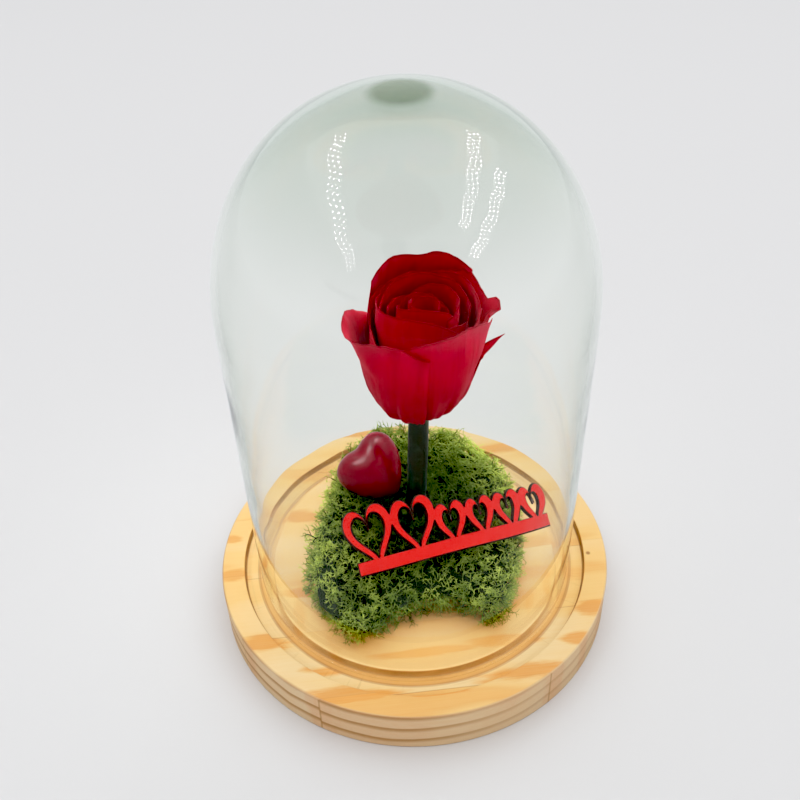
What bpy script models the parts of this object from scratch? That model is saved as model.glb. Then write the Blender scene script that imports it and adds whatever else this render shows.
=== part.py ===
"""Preserved rose under a glass dome on a round wooden base.

Standalone Blender script, metres, +Z up. The origin is the centre of the base's underside and the
front of the object faces -Y. Every named object is one solid piece of the real thing.
"""

import math
from dataclasses import dataclass

import bmesh
import bpy
from mathutils import Matrix, Vector
from mathutils.geometry import delaunay_2d_cdt

MM = 0.001
GAP = 0.3 * MM

# Wooden base
BASE_RADIUS = 85.0 * MM
BASE_THICKNESS = 20.7 * MM
BASE_EDGE = 0.6 * MM
GROOVE_INNER_RADIUS = 63.0 * MM
GROOVE_OUTER_RADIUS = 75.2 * MM
GROOVE_DEPTH = 3.0 * MM
BASE_SEGMENTS = 64

# Glass dome
DOME_FOOT_RADIUS = 67.8 * MM
DOME_SHOULDER_RADIUS = 69.0 * MM
DOME_WALL = 2.6 * MM
DOME_FOOT_HEIGHT = BASE_THICKNESS - GROOVE_DEPTH + GAP
DOME_SHOULDER_HEIGHT = 153.6 * MM
DOME_CAP_HEIGHT = 77.7 * MM
DOME_CAP_POWER = 2.1
DOME_LENS_RADIUS = 10.0 * MM
DOME_LENS_DEPTH = 3.0 * MM
DOME_SEGMENTS = 44
DOME_CAP_STEPS = 8

# Stem and the cone under the flower
STEM_RADIUS = 4.5 * MM
STEM_FOOT = Vector((0.1, 0.0, 0.0)) * MM + Vector((0, 0, BASE_THICKNESS + 2 * GAP))
ROSE_BASE = Vector((3.8, -1.0, 103.5)) * MM
CONE_HEIGHT = 24.0 * MM
CONE_FOOT_RADIUS = 3.6 * MM
CONE_TIP_RADIUS = 1.0 * MM

# Rose, in its own frame: origin at the flower's base, +Z along the flower
ROSE_LEAN_RIGHT = math.radians(3.0)
ROSE_LEAN_FORWARD = math.radians(12.0)
ROSE_TOP = 61.0 * MM
BUD_RADIUS = 3.2 * MM
CUP_RADIUS = 23.6 * MM
CUP_POWER = 1.9
CUP_CLOSING = 0.13
BUD_START = 24.0 * MM
CUP_WIDEST = 0.56
CUP_FOOT_STEP = 0.6 * MM
PETAL_THICKNESS = 0.4 * MM
PETAL_CLEARANCE = 0.7 * MM
PETAL_DROOP = 0.25
PETAL_FOOT_WIDTH = 0.42
PETAL_FULL_WIDTH_AT = 0.6
PETAL_ROWS = (0.0, 0.13, 0.26, 0.38, 0.5, 0.75, 1.0)
GOLDEN_TURN = 137.5

# Puffed heart on the moss
HEART_CENTRE = Vector((-15.8, 9.0, 62.0)) * MM
HEART_WIDTH = 29.5 * MM
HEART_DEPTH = 21.0 * MM
HEART_TURN = math.radians(42.0)
HEART_FACE_RISE = math.radians(42.0)
HEART_BODY_HEIGHT = 0.86
HEART_LOBE_RISE = 0.62
HEART_LOBE_FALL = 0.34
HEART_CLEFT_ROUNDING = 0.12
HEART_CLEFT_DROP = 0.14
HEART_TIP_NARROWING = 0.04
HEART_TIP_THINNING = 0.16

# Cut-out ornament that leans on the moss
ORNAMENT_LEFT = Vector((-21.4, -33.9, 43.7)) * MM
ORNAMENT_RIGHT = Vector((57.2, -15.9, 51.9)) * MM
ORNAMENT_LEAN = math.radians(52.0)
ORNAMENT_THICKNESS = 3.0 * MM
ORNAMENT_STROKE = 2.7 * MM
ORNAMENT_BAR = 5.5 * MM
OPENING_SHORTER = 2.3
OPENING_RAISED = 1.35
HEART_CURVE = (13, -5, -2, -1)

# Moss clump
MOSS_HEIGHT = 31.0 * MM
MOSS_BACK_RISE = 8.5 * MM
MOSS_HOLE_RADIUS = 5.6 * MM
MOSS_CENTRE = Vector((0.8, 0.0)) * MM
MOSS_OUTLINE = [(52, -22), (50, 8), (44, 28), (26, 44), (4, 48), (-18, 45), (-35, 26), (-42, 4),
                (-48, -16), (-40, -36), (-24, -52), (-8, -41), (10, -37), (25, -42), (38, -47)]
MOSS_SEGMENTS = 40
MOSS_LEVELS = [(0.94, 0.0), (1.0, 0.12), (1.0, 0.4), (0.96, 0.68), (0.88, 0.9), (0.74, 1.0),
               (0.5, 0.92), (0.28, 0.84), (0.0, 0.82)]
MOSS_BACK = Vector((-0.35, 0.94))
MOSS_LUMP = 0.05
MOSS_LEAST = 8.0 * MM
MOSS_PRESS = 2.2 * MM
HEART_NEST = 0.94
ORNAMENT_REACH = 50.0 * MM
ORNAMENT_SHELF = 5.0 * MM


@dataclass(frozen=True)
class Petal:
    """One petal: its place in the cup, and its rim's height and outward flare in millimetres.

    Rim and flare are given at five even stations from one side of the petal to the other.
    """

    layer: float
    azimuth: float
    half_width: float
    rim: tuple
    flare: tuple = (0.0,) * 5


@dataclass(frozen=True)
class OpenHeart:
    """One open heart of the cut-out ornament, its tip sunk in the bar."""

    centre: float
    width: float
    height: float
    tilt: float


OPEN_HEARTS = [OpenHeart(9.6, 20.5, 27.0, 6.0), OpenHeart(26.6, 18.6, 26.0, 0.0),
               OpenHeart(41.6, 13.6, 20.0, 0.0), OpenHeart(54.1, 12.4, 19.0, 0.0),
               OpenHeart(65.8, 12.0, 18.5, 0.0), OpenHeart(76.6, 11.4, 17.8, 0.0)]

# Outer petals from the inside out: layer number, azimuth and half width in degrees, then rim and
# flare in millimetres. An azimuth of -90 degrees faces -Y, and the stations run towards larger
# azimuths.
OUTER_PETALS = [
    (11, 118, 60, (57, 60, 61, 58, 47), (0, 0, 0, 0, 0)),
    (12, 38, 60, (52, 60, 62, 61, 57), (0, 0, 0.5, 0.3, 0)),
    (13, -82, 62, (51, 58, 60, 58.5, 54), (0, 0, 0, 0, 0)),
    (14, 172, 56, (50, 55, 52, 52, 50), (0, 0, 0.3, 0.3, 0)),
    (15, 13, 60, (50, 54, 56, 58, 54), (0, 0.8, 8.6, 1.6, 0.4)),
    (16, -64, 58, (54, 59, 60, 58.5, 54), (0, 0, 0.2, 1.6, 4.8)),
    (17, 98, 58, (56, 61, 61.5, 62, 56), (1.5, 1.5, 1.5, 1.5, 1)),
    (17, -8, 10, (37, 43, 49.5, 42, 36), (2, 3.2, 9, 3.2, 2)),
    (18, -158, 74, (32, 47, 51, 57.5, 52), (1.8, 6, 6.8, 2.4, 1)),
]
INNER_COUNT = 11
INNER_RIM = (0.84, 0.97, 1.0, 0.97, 0.84)
INNER_TOP = 60.5
BUD_DIP = 5.0
BUD_RISE = 0.65
LAYER_STEP = 1.0 / OUTER_PETALS[-1][0]


def clear_scene():
    for thing in list(bpy.data.objects):
        bpy.data.objects.remove(thing, do_unlink=True)


def make_material(name, colour, roughness, metallic=0.0):
    material = bpy.data.materials.new(name)
    material.use_nodes = True
    shader = material.node_tree.nodes["Principled BSDF"]
    shader.inputs["Base Color"].default_value = (*colour, 1.0)
    shader.inputs["Roughness"].default_value = roughness
    shader.inputs["Metallic"].default_value = metallic
    return material


def make_object(name, shape, material, smooth_angle=40.0):
    """Turn a bmesh into a named object, shaded smooth except at its sharp edges."""
    shape.normal_update()
    bmesh.ops.recalc_face_normals(shape, faces=shape.faces)
    mesh = bpy.data.meshes.new(name)
    shape.to_mesh(mesh)
    shape.free()
    mesh.shade_smooth()
    mesh.set_sharp_from_angle(angle=math.radians(smooth_angle))
    mesh.materials.append(material)
    thing = bpy.data.objects.new(name, mesh)
    bpy.context.scene.collection.objects.link(thing)
    return thing


def turned_shape(profile, segments):
    """Closed solid of revolution about Z from (radius, height) points; radius 0 is on the axis."""
    shape = bmesh.new()
    rings = []
    for radius, height in profile:
        if radius == 0.0:
            rings.append([shape.verts.new((0.0, 0.0, height))] * segments)
            continue
        angles = [2 * math.pi * step / segments for step in range(segments)]
        rings.append([shape.verts.new((radius * math.cos(angle), radius * math.sin(angle), height))
                      for angle in angles])
    for lower, upper in zip(rings, rings[1:]):
        join_rings(shape, lower, upper)
    return shape


def join_rings(shape, first, second):
    """Faces between two rings of equal count, as triangles where a ring is a single point."""
    count = len(first)
    for index in range(count):
        follow = (index + 1) % count
        corners = [first[index], first[follow], second[follow], second[index]]
        shape.faces.new(list(dict.fromkeys(corners)))


def make_base(material):
    top = BASE_THICKNESS
    floor = top - GROOVE_DEPTH
    profile = [(0.0, 0.0), (BASE_RADIUS, 0.0), (BASE_RADIUS, top - BASE_EDGE),
               (BASE_RADIUS - BASE_EDGE, top), (GROOVE_OUTER_RADIUS, top), (GROOVE_OUTER_RADIUS, floor),
               (GROOVE_INNER_RADIUS, floor), (GROOVE_INNER_RADIUS, top), (0.0, top)]
    make_object("wood_base", turned_shape(profile, BASE_SEGMENTS), material)


def cap_curve(radius, height, steps):
    """Rounded cap from its shoulder to just short of the axis, as (radius, rise) pairs."""
    power = 2.0 / DOME_CAP_POWER
    angles = [math.pi / 2 * step / steps for step in range(steps)]
    return [(radius * math.cos(angle) ** power, height * math.sin(angle) ** power) for angle in angles]


def make_dome(material):
    """One glass shell, open below, with the thick spot of a blown dome at its top."""
    outer = [(DOME_FOOT_RADIUS, DOME_FOOT_HEIGHT)]
    outer += [(radius, DOME_SHOULDER_HEIGHT + rise)
              for radius, rise in cap_curve(DOME_SHOULDER_RADIUS, DOME_CAP_HEIGHT, DOME_CAP_STEPS)]
    outer.append((0.0, DOME_SHOULDER_HEIGHT + DOME_CAP_HEIGHT))
    inner_cap = cap_curve(DOME_SHOULDER_RADIUS - DOME_WALL, DOME_CAP_HEIGHT - DOME_WALL, DOME_CAP_STEPS)
    inner_cap.append((0.0, DOME_CAP_HEIGHT - DOME_WALL))
    inner = [(DOME_FOOT_RADIUS - DOME_WALL, DOME_FOOT_HEIGHT)]
    for radius, rise in inner_cap:
        lens = DOME_LENS_DEPTH * math.exp(-(radius / DOME_LENS_RADIUS) ** 2)
        inner.append((radius, DOME_SHOULDER_HEIGHT + rise - lens))
    profile = outer[::-1] + inner
    make_object("glass_dome", turned_shape(profile, DOME_SEGMENTS), material)


def rose_matrix():
    lean = Matrix.Rotation(ROSE_LEAN_RIGHT, 4, "Y") @ Matrix.Rotation(ROSE_LEAN_FORWARD, 4, "X")
    return Matrix.Translation(ROSE_BASE) @ lean


def make_stem(material):
    """Round stem that ends in the cone on which the petals sit."""
    tip = rose_matrix() @ Vector((0, 0, CONE_HEIGHT))
    shoulder = rose_matrix() @ Vector((0, 0, 0.4 * MM))
    neck = STEM_FOOT.lerp(ROSE_BASE, 0.99)
    stations = [(STEM_FOOT, STEM_RADIUS), (neck, STEM_RADIUS), (shoulder, CONE_FOOT_RADIUS),
                (tip, CONE_TIP_RADIUS)]
    curve = bpy.data.curves.new("stem", "CURVE")
    curve.dimensions = "3D"
    curve.bevel_depth = 1.0
    curve.bevel_resolution = 6
    curve.use_fill_caps = True
    spline = curve.splines.new("POLY")
    spline.points.add(len(stations) - 1)
    for point, (place, radius) in zip(spline.points, stations):
        point.co = (*place, 1.0)
        point.radius = radius
    spline.use_smooth = True
    curve.materials.append(material)
    bpy.context.scene.collection.objects.link(bpy.data.objects.new("stem", curve))


def cup_start(layer):
    """Height at which a layer's petals leave the cone, and their distance from the axis there."""
    height = BUD_START * (1 - layer)
    cone = CONE_FOOT_RADIUS + (CONE_TIP_RADIUS - CONE_FOOT_RADIUS) * height / CONE_HEIGHT
    return height, cone + PETAL_CLEARANCE + CUP_FOOT_STEP * layer


def cup_radius(layer):
    return BUD_RADIUS + (CUP_RADIUS - BUD_RADIUS) * layer


def between_stations(values, across):
    """Smooth value at a place across a petal, -1 to 1, from values at even stations."""
    place = (across + 1) / 2 * (len(values) - 1)
    index = min(int(place), len(values) - 2)
    t = place - index
    before = values[max(index - 1, 0)]
    first, second = values[index], values[index + 1]
    after = values[min(index + 2, len(values) - 1)]
    return 0.5 * (2 * first + (second - before) * t + (2 * before - 5 * first + 4 * second - after) * t ** 2
                  + (3 * first - before - 3 * second + after) * t ** 3)


def petal_point(petal, across, along):
    """Point of a petal's middle surface, across -1 to 1 from side to side, along 0 to 1 from its foot.

    Up to half way the petal follows the round bottom of its cup, above that its wall. Every layer
    of the cup lies wholly outside the one before it, so petals of different layers never meet.
    """
    start, foot_radius = cup_start(petal.layer)
    radius = cup_radius(petal.layer)
    widest = start + CUP_WIDEST * (ROSE_TOP - start)
    rim = between_stations(petal.rim, across) * MM
    power = 2.0 / CUP_POWER
    first_angle = math.asin((foot_radius / radius) ** (1 / power))
    if along <= 0.5:
        angle = first_angle + (math.pi / 2 - first_angle) * along * 2
        reach = radius * math.sin(angle) ** power
        height = widest - (widest - start) * max(0.0, math.cos(angle)) ** power
    else:
        height = widest + (rim - widest) * (along - 0.5) * 2
        reach = radius * (1 - CUP_CLOSING * ((height - widest) / (ROSE_TOP - widest)) ** 2)
    flare = between_stations(petal.flare, across) * MM
    spread = flare * max(0.0, (along - 0.5) / 0.5) ** 2
    reach += spread
    height -= PETAL_DROOP * spread
    opened = math.sin(math.pi / 2 * min(1.0, along / PETAL_FULL_WIDTH_AT))
    taper = PETAL_FOOT_WIDTH + (1 - PETAL_FOOT_WIDTH) * opened
    angle = math.radians(petal.azimuth + across * petal.half_width * taper)
    return Vector((reach * math.cos(angle), reach * math.sin(angle), height))


def petal_plan():
    """Petals from the innermost to the outermost: a spiral bud, then the open outer ones."""
    petals = []
    for index in range(INNER_COUNT):
        top = INNER_TOP - BUD_DIP * BUD_RISE ** index
        petals.append(Petal(layer=index * LAYER_STEP, azimuth=index * GOLDEN_TURN - 60,
                            half_width=max(68.0, 150.0 - 22.0 * index),
                            rim=[share * top for share in INNER_RIM]))
    for number, *outline in OUTER_PETALS:
        petals.append(Petal(number * LAYER_STEP, *outline))
    return petals


def petal_columns(petal):
    """Facets across a petal: more on a wide petal, so that its facets stay close to round."""
    facet = 2 * math.acos(1 - 0.24 * MM / cup_radius(petal.layer))
    return max(3, math.ceil(2 * math.radians(petal.half_width) / facet))


def make_petal(name, petal, material, head):
    """Thin curved sheet, thickened both ways into one closed petal."""
    columns = petal_columns(petal)
    shape = bmesh.new()
    grid = []
    for along in PETAL_ROWS:
        grid.append([shape.verts.new(petal_point(petal, 2 * column / columns - 1, along))
                     for column in range(columns + 1)])
    for lower, upper in zip(grid, grid[1:]):
        for column in range(columns):
            shape.faces.new((lower[column], lower[column + 1], upper[column + 1], upper[column]))
    thing = make_object(name, shape, material)
    thing.parent = head
    thickness = thing.modifiers.new("thickness", "SOLIDIFY")
    thickness.thickness = PETAL_THICKNESS
    thickness.offset = 0.0


def make_rose(material):
    head = bpy.data.objects.new("rose_head", None)
    head.matrix_world = rose_matrix()
    bpy.context.scene.collection.objects.link(head)
    for number, petal in enumerate(petal_plan(), start=1):
        make_petal(f"petal_{number:02d}", petal, material, head)


def heart_matrix():
    """Frame of the puffed heart: X across it, Y up it and Z out of its face."""
    face = Vector((0, -math.cos(HEART_FACE_RISE), math.sin(HEART_FACE_RISE)))
    up = Vector((0, math.sin(HEART_FACE_RISE), math.cos(HEART_FACE_RISE)))
    right = up.cross(face)
    frame = Matrix((right, up, face)).transposed().to_4x4()
    return Matrix.Translation(HEART_CENTRE) @ frame @ Matrix.Rotation(HEART_TURN, 4, "Z")


def make_heart(material):
    """Ball drawn out into a puffed heart: two round lobes above and one point below."""
    shape = bmesh.new()
    bmesh.ops.create_uvsphere(shape, u_segments=24, v_segments=14, radius=1.0)
    for vertex in shape.verts:
        x, depth, y = vertex.co
        lobe = HEART_LOBE_RISE * math.hypot(x, HEART_CLEFT_ROUNDING) * (1 - HEART_LOBE_FALL * abs(x))
        narrow = 1 - HEART_TIP_NARROWING * (1 - y) * abs(x)
        thin = 1 - HEART_TIP_THINNING * (1 - y)
        vertex.co = Vector((x * narrow * HEART_WIDTH / 2,
                            (HEART_BODY_HEIGHT * y + lobe - HEART_CLEFT_DROP) * HEART_WIDTH / 2,
                            depth * thin * HEART_DEPTH / 2))
    thing = make_object("glossy_heart", shape, material)
    thing.matrix_world = heart_matrix()


def heart_outline(heart, inset, count):
    """Open heart's outline as 2D points, pulled in by a distance for its inner edge.

    The height is a sum of cosines of the turn, whose lowest and highest sums are -17 and about 12.
    """
    width = heart.width * MM - 2 * inset
    height = heart.height * MM - OPENING_SHORTER * inset
    tilt = Matrix.Rotation(math.radians(heart.tilt), 2)
    points = []
    for step in range(count):
        turn = -2 * math.pi * step / count
        x = math.sin(turn) ** 3
        rise = sum(share * math.cos(part * turn) for part, share in enumerate(HEART_CURVE, start=1))
        local = Vector((x * width / 2, (rise + 17) / 29 * height + OPENING_RAISED * inset))
        points.append(tilt @ local + Vector((heart.centre * MM, 0.4 * MM)))
    return points


def ornament_matrix():
    """Frame of the ornament: X along its lower edge, Y up its face and Z out of it."""
    along = (ORNAMENT_RIGHT - ORNAMENT_LEFT).normalized()
    rise = Vector((0, math.sin(ORNAMENT_LEAN), math.cos(ORNAMENT_LEAN)))
    face = along.cross(rise).normalized()
    up = face.cross(along)
    frame = Matrix((along, up, face)).transposed().to_4x4()
    return Matrix.Translation(ORNAMENT_LEFT) @ frame


def ornament_triangles():
    """Flat front of the ornament: the bar joined with every heart, less the hearts' openings."""
    length = (ORNAMENT_RIGHT - ORNAMENT_LEFT).length
    bar = [Vector((0, 0)), Vector((length, 0)), Vector((length, ORNAMENT_BAR)),
           Vector((0, ORNAMENT_BAR))]
    outlines = [bar]
    openings = {}
    for heart in OPEN_HEARTS:
        outlines.append(heart_outline(heart, 0.0, 26))
        openings[len(outlines) - 1] = len(outlines)
        outlines.append(heart_outline(heart, ORNAMENT_STROKE, 20))
    points = [point for outline in outlines for point in outline]
    loops = []
    for outline in outlines:
        first = sum(len(loop) for loop in loops)
        loops.append(list(range(first, first + len(outline))))
    corners, _, faces, _, _, sources = delaunay_2d_cdt(points, [], loops, 1, 1e-7)
    solid = [face for face, inside in zip(faces, sources)
             if 0 in inside or any(outer in inside and opening not in inside
                                   for outer, opening in openings.items())]
    return corners, solid


def make_ornament(material):
    """Thin board cut out in one piece: a row of open hearts on a sloping bar."""
    corners, solid = ornament_triangles()
    shape = bmesh.new()
    used = sorted({index for face in solid for index in face})
    verts = {index: shape.verts.new((*corners[index], -ORNAMENT_THICKNESS)) for index in used}
    back = [shape.faces.new([verts[index] for index in face]) for face in solid]
    front = bmesh.ops.extrude_face_region(shape, geom=back)["geom"]
    moved = [item for item in front if isinstance(item, bmesh.types.BMVert)]
    bmesh.ops.translate(shape, verts=moved, vec=(0, 0, ORNAMENT_THICKNESS))
    thing = make_object("cutout_ornament", shape, material)
    thing.matrix_world = ornament_matrix()


def smooth_outline(points, count):
    """Closed smooth curve through the outline's points (Catmull-Rom), as evenly stepped points."""
    size = len(points)
    curve = []
    for step in range(count):
        place = step * size / count
        index = int(place)
        t = place - index
        p0, p1, p2, p3 = (Vector(points[(index + offset) % size]) for offset in (-1, 0, 1, 2))
        curve.append(0.5 * ((2 * p1) + (p2 - p0) * t + (2 * p0 - 5 * p1 + 4 * p2 - p3) * t ** 2
                            + (3 * p1 - p0 - 3 * p2 + p3) * t ** 3) * MM)
    return curve


def pressed_height(place):
    """Highest that the moss may stand at a point, under the ornament and under the puffed heart.

    In front of the ornament's lower edge the moss may stand as high as under that edge.
    """
    limit = BASE_THICKNESS + 2 * MOSS_HEIGHT
    if abs(place.x - (ORNAMENT_LEFT.x + ORNAMENT_RIGHT.x) / 2) < ORNAMENT_REACH:
        board = ornament_matrix()
        normal = board.col[2].to_3d()
        back = board.translation - normal * (ORNAMENT_THICKNESS + MOSS_PRESS)
        share = (place.x - ORNAMENT_LEFT.x) / (ORNAMENT_RIGHT.x - ORNAMENT_LEFT.x)
        edge = ORNAMENT_LEFT.lerp(ORNAMENT_RIGHT, share).y - ORNAMENT_SHELF
        depth = max(place.y, edge)
        limit = back.z - ((place.x - back.x) * normal.x + (depth - back.y) * normal.y) / normal.z
    away = (place - HEART_CENTRE.to_2d()).length
    reach = HEART_WIDTH / 2 + MOSS_PRESS
    if away < reach:
        limit = min(limit, HEART_CENTRE.z - HEART_NEST * math.sqrt(reach ** 2 - away ** 2))
    return limit


def make_moss(material):
    """Low clump with a flat underside, steep sides and a hole that the stem passes through."""
    floor = BASE_THICKNESS + GAP
    outline = smooth_outline(MOSS_OUTLINE, MOSS_SEGMENTS)
    directions = [(point - MOSS_CENTRE).normalized() for point in outline]
    shape = bmesh.new()
    rings = []
    for inset, rise in MOSS_LEVELS:
        ring = []
        for number, (point, direction) in enumerate(zip(outline, directions)):
            hole = MOSS_CENTRE + direction * MOSS_HOLE_RADIUS
            place = hole.lerp(point, inset)
            lump = 1 + MOSS_LUMP * math.sin(5 * number) * (rise > 0)
            top = MOSS_HEIGHT + MOSS_BACK_RISE * max(0.0, direction.dot(MOSS_BACK))
            height = min(floor + top * rise * lump, pressed_height(place))
            ring.append(shape.verts.new((*place, max(floor + rise * MOSS_LEAST, height))))
        rings.append(ring)
    rings.append([shape.verts.new((*(MOSS_CENTRE + direction * MOSS_HOLE_RADIUS), floor))
                  for direction in directions])
    for lower, upper in zip(rings, rings[1:] + rings[:1]):
        join_rings(shape, lower, upper)
    make_object("moss_clump", shape, material)


def main():
    clear_scene()
    make_base(make_material("pine", (0.72, 0.46, 0.22), 0.55))
    make_dome(make_material("glass", (0.80, 0.90, 0.86), 0.03))
    make_moss(make_material("moss", (0.10, 0.22, 0.03), 0.9))
    make_stem(make_material("stem_green_black", (0.012, 0.02, 0.016), 0.45))
    make_rose(make_material("petal_red", (0.28, 0.004, 0.010), 0.7))
    make_heart(make_material("heart_red", (0.22, 0.004, 0.012), 0.12))
    make_ornament(make_material("ornament_red", (0.75, 0.012, 0.012), 0.4))


if __name__ == "__main__":
    main()
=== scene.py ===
"""Looks of a preserved rose under a glass dome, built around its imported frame.

Lengths are in metres and places are in the part's own frame: +Z is up, the front faces -Y, and the
origin is the centre of the wooden base's underside. Signal and Graph write the shader nodes, and every
other class is one finish, one sub-assembly or a form that a sub-assembly is made of.
"""

import logging
import math
from dataclasses import dataclass
from enum import Enum
from typing import Any, Sequence

import bmesh
import bpy
import numpy as np
from mathutils import Matrix, Vector, noise
from mathutils.bvhtree import BVHTree
from mathutils.geometry import delaunay_2d_cdt


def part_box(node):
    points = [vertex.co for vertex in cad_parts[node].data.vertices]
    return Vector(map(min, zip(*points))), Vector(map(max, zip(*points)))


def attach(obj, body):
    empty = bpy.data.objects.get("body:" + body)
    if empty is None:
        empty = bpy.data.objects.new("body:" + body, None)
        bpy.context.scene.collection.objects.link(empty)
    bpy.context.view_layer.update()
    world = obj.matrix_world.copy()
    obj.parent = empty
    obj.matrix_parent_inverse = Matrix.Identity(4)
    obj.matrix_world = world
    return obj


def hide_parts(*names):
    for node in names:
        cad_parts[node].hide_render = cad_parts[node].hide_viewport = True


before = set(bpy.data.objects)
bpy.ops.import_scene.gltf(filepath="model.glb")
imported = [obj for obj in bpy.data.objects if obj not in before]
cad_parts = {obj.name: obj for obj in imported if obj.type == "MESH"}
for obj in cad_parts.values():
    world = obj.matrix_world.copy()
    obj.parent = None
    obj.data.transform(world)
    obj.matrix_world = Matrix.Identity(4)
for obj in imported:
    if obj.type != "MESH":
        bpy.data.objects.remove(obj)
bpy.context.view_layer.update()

LOG = logging.getLogger("rose_dome")
MM = 0.001
BODY = "root"
BASE_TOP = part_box("wood_base")[1].z
TUBE_CORNERS = (0.0, 2.1, 4.2)  # angles of the corners round a tube of moss, in radians
Colour = tuple[float, float, float]
Outline = list[tuple[float, float]]


class Slot(Enum):
    """Material slots of the record, one for each finish."""

    PINE = "pine"
    GLASS = "glass"
    MOSS = "moss"
    STEM = "stem_green_black"
    PETAL = "petal_red"
    HEART = "heart_red"
    ORNAMENT = "ornament_red"


class Signal:
    """Output of a shader node, with arithmetic that adds Math nodes to its graph."""

    def __init__(self, graph: "Graph", socket: bpy.types.NodeSocket) -> None:
        """Keep the output socket and the graph that new nodes go into."""
        self.graph = graph
        self.socket = socket

    def math(self, operation: str, *others: Any) -> "Signal":
        """Result of a Math node.

        Args:
            operation: The node's operation, such as "ADD".
            *others: The operands after this one, as numbers or signals.

        Returns:
            The node's output.
        """
        return self.graph.math(operation, self, *others)

    def __add__(self, other: Any) -> "Signal":
        """Sum with a number or signal."""
        return self.math("ADD", other)

    def __sub__(self, other: Any) -> "Signal":
        """Difference from a number or signal."""
        return self.math("SUBTRACT", other)

    def __rsub__(self, other: Any) -> "Signal":
        """A number less this signal."""
        return self.graph.math("SUBTRACT", other, self)

    def __mul__(self, other: Any) -> "Signal":
        """Product with a number or signal."""
        return self.math("MULTIPLY", other)

    def __truediv__(self, other: Any) -> "Signal":
        """Quotient by a number or signal."""
        return self.math("DIVIDE", other)

    __radd__ = __add__
    __rmul__ = __mul__


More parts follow.
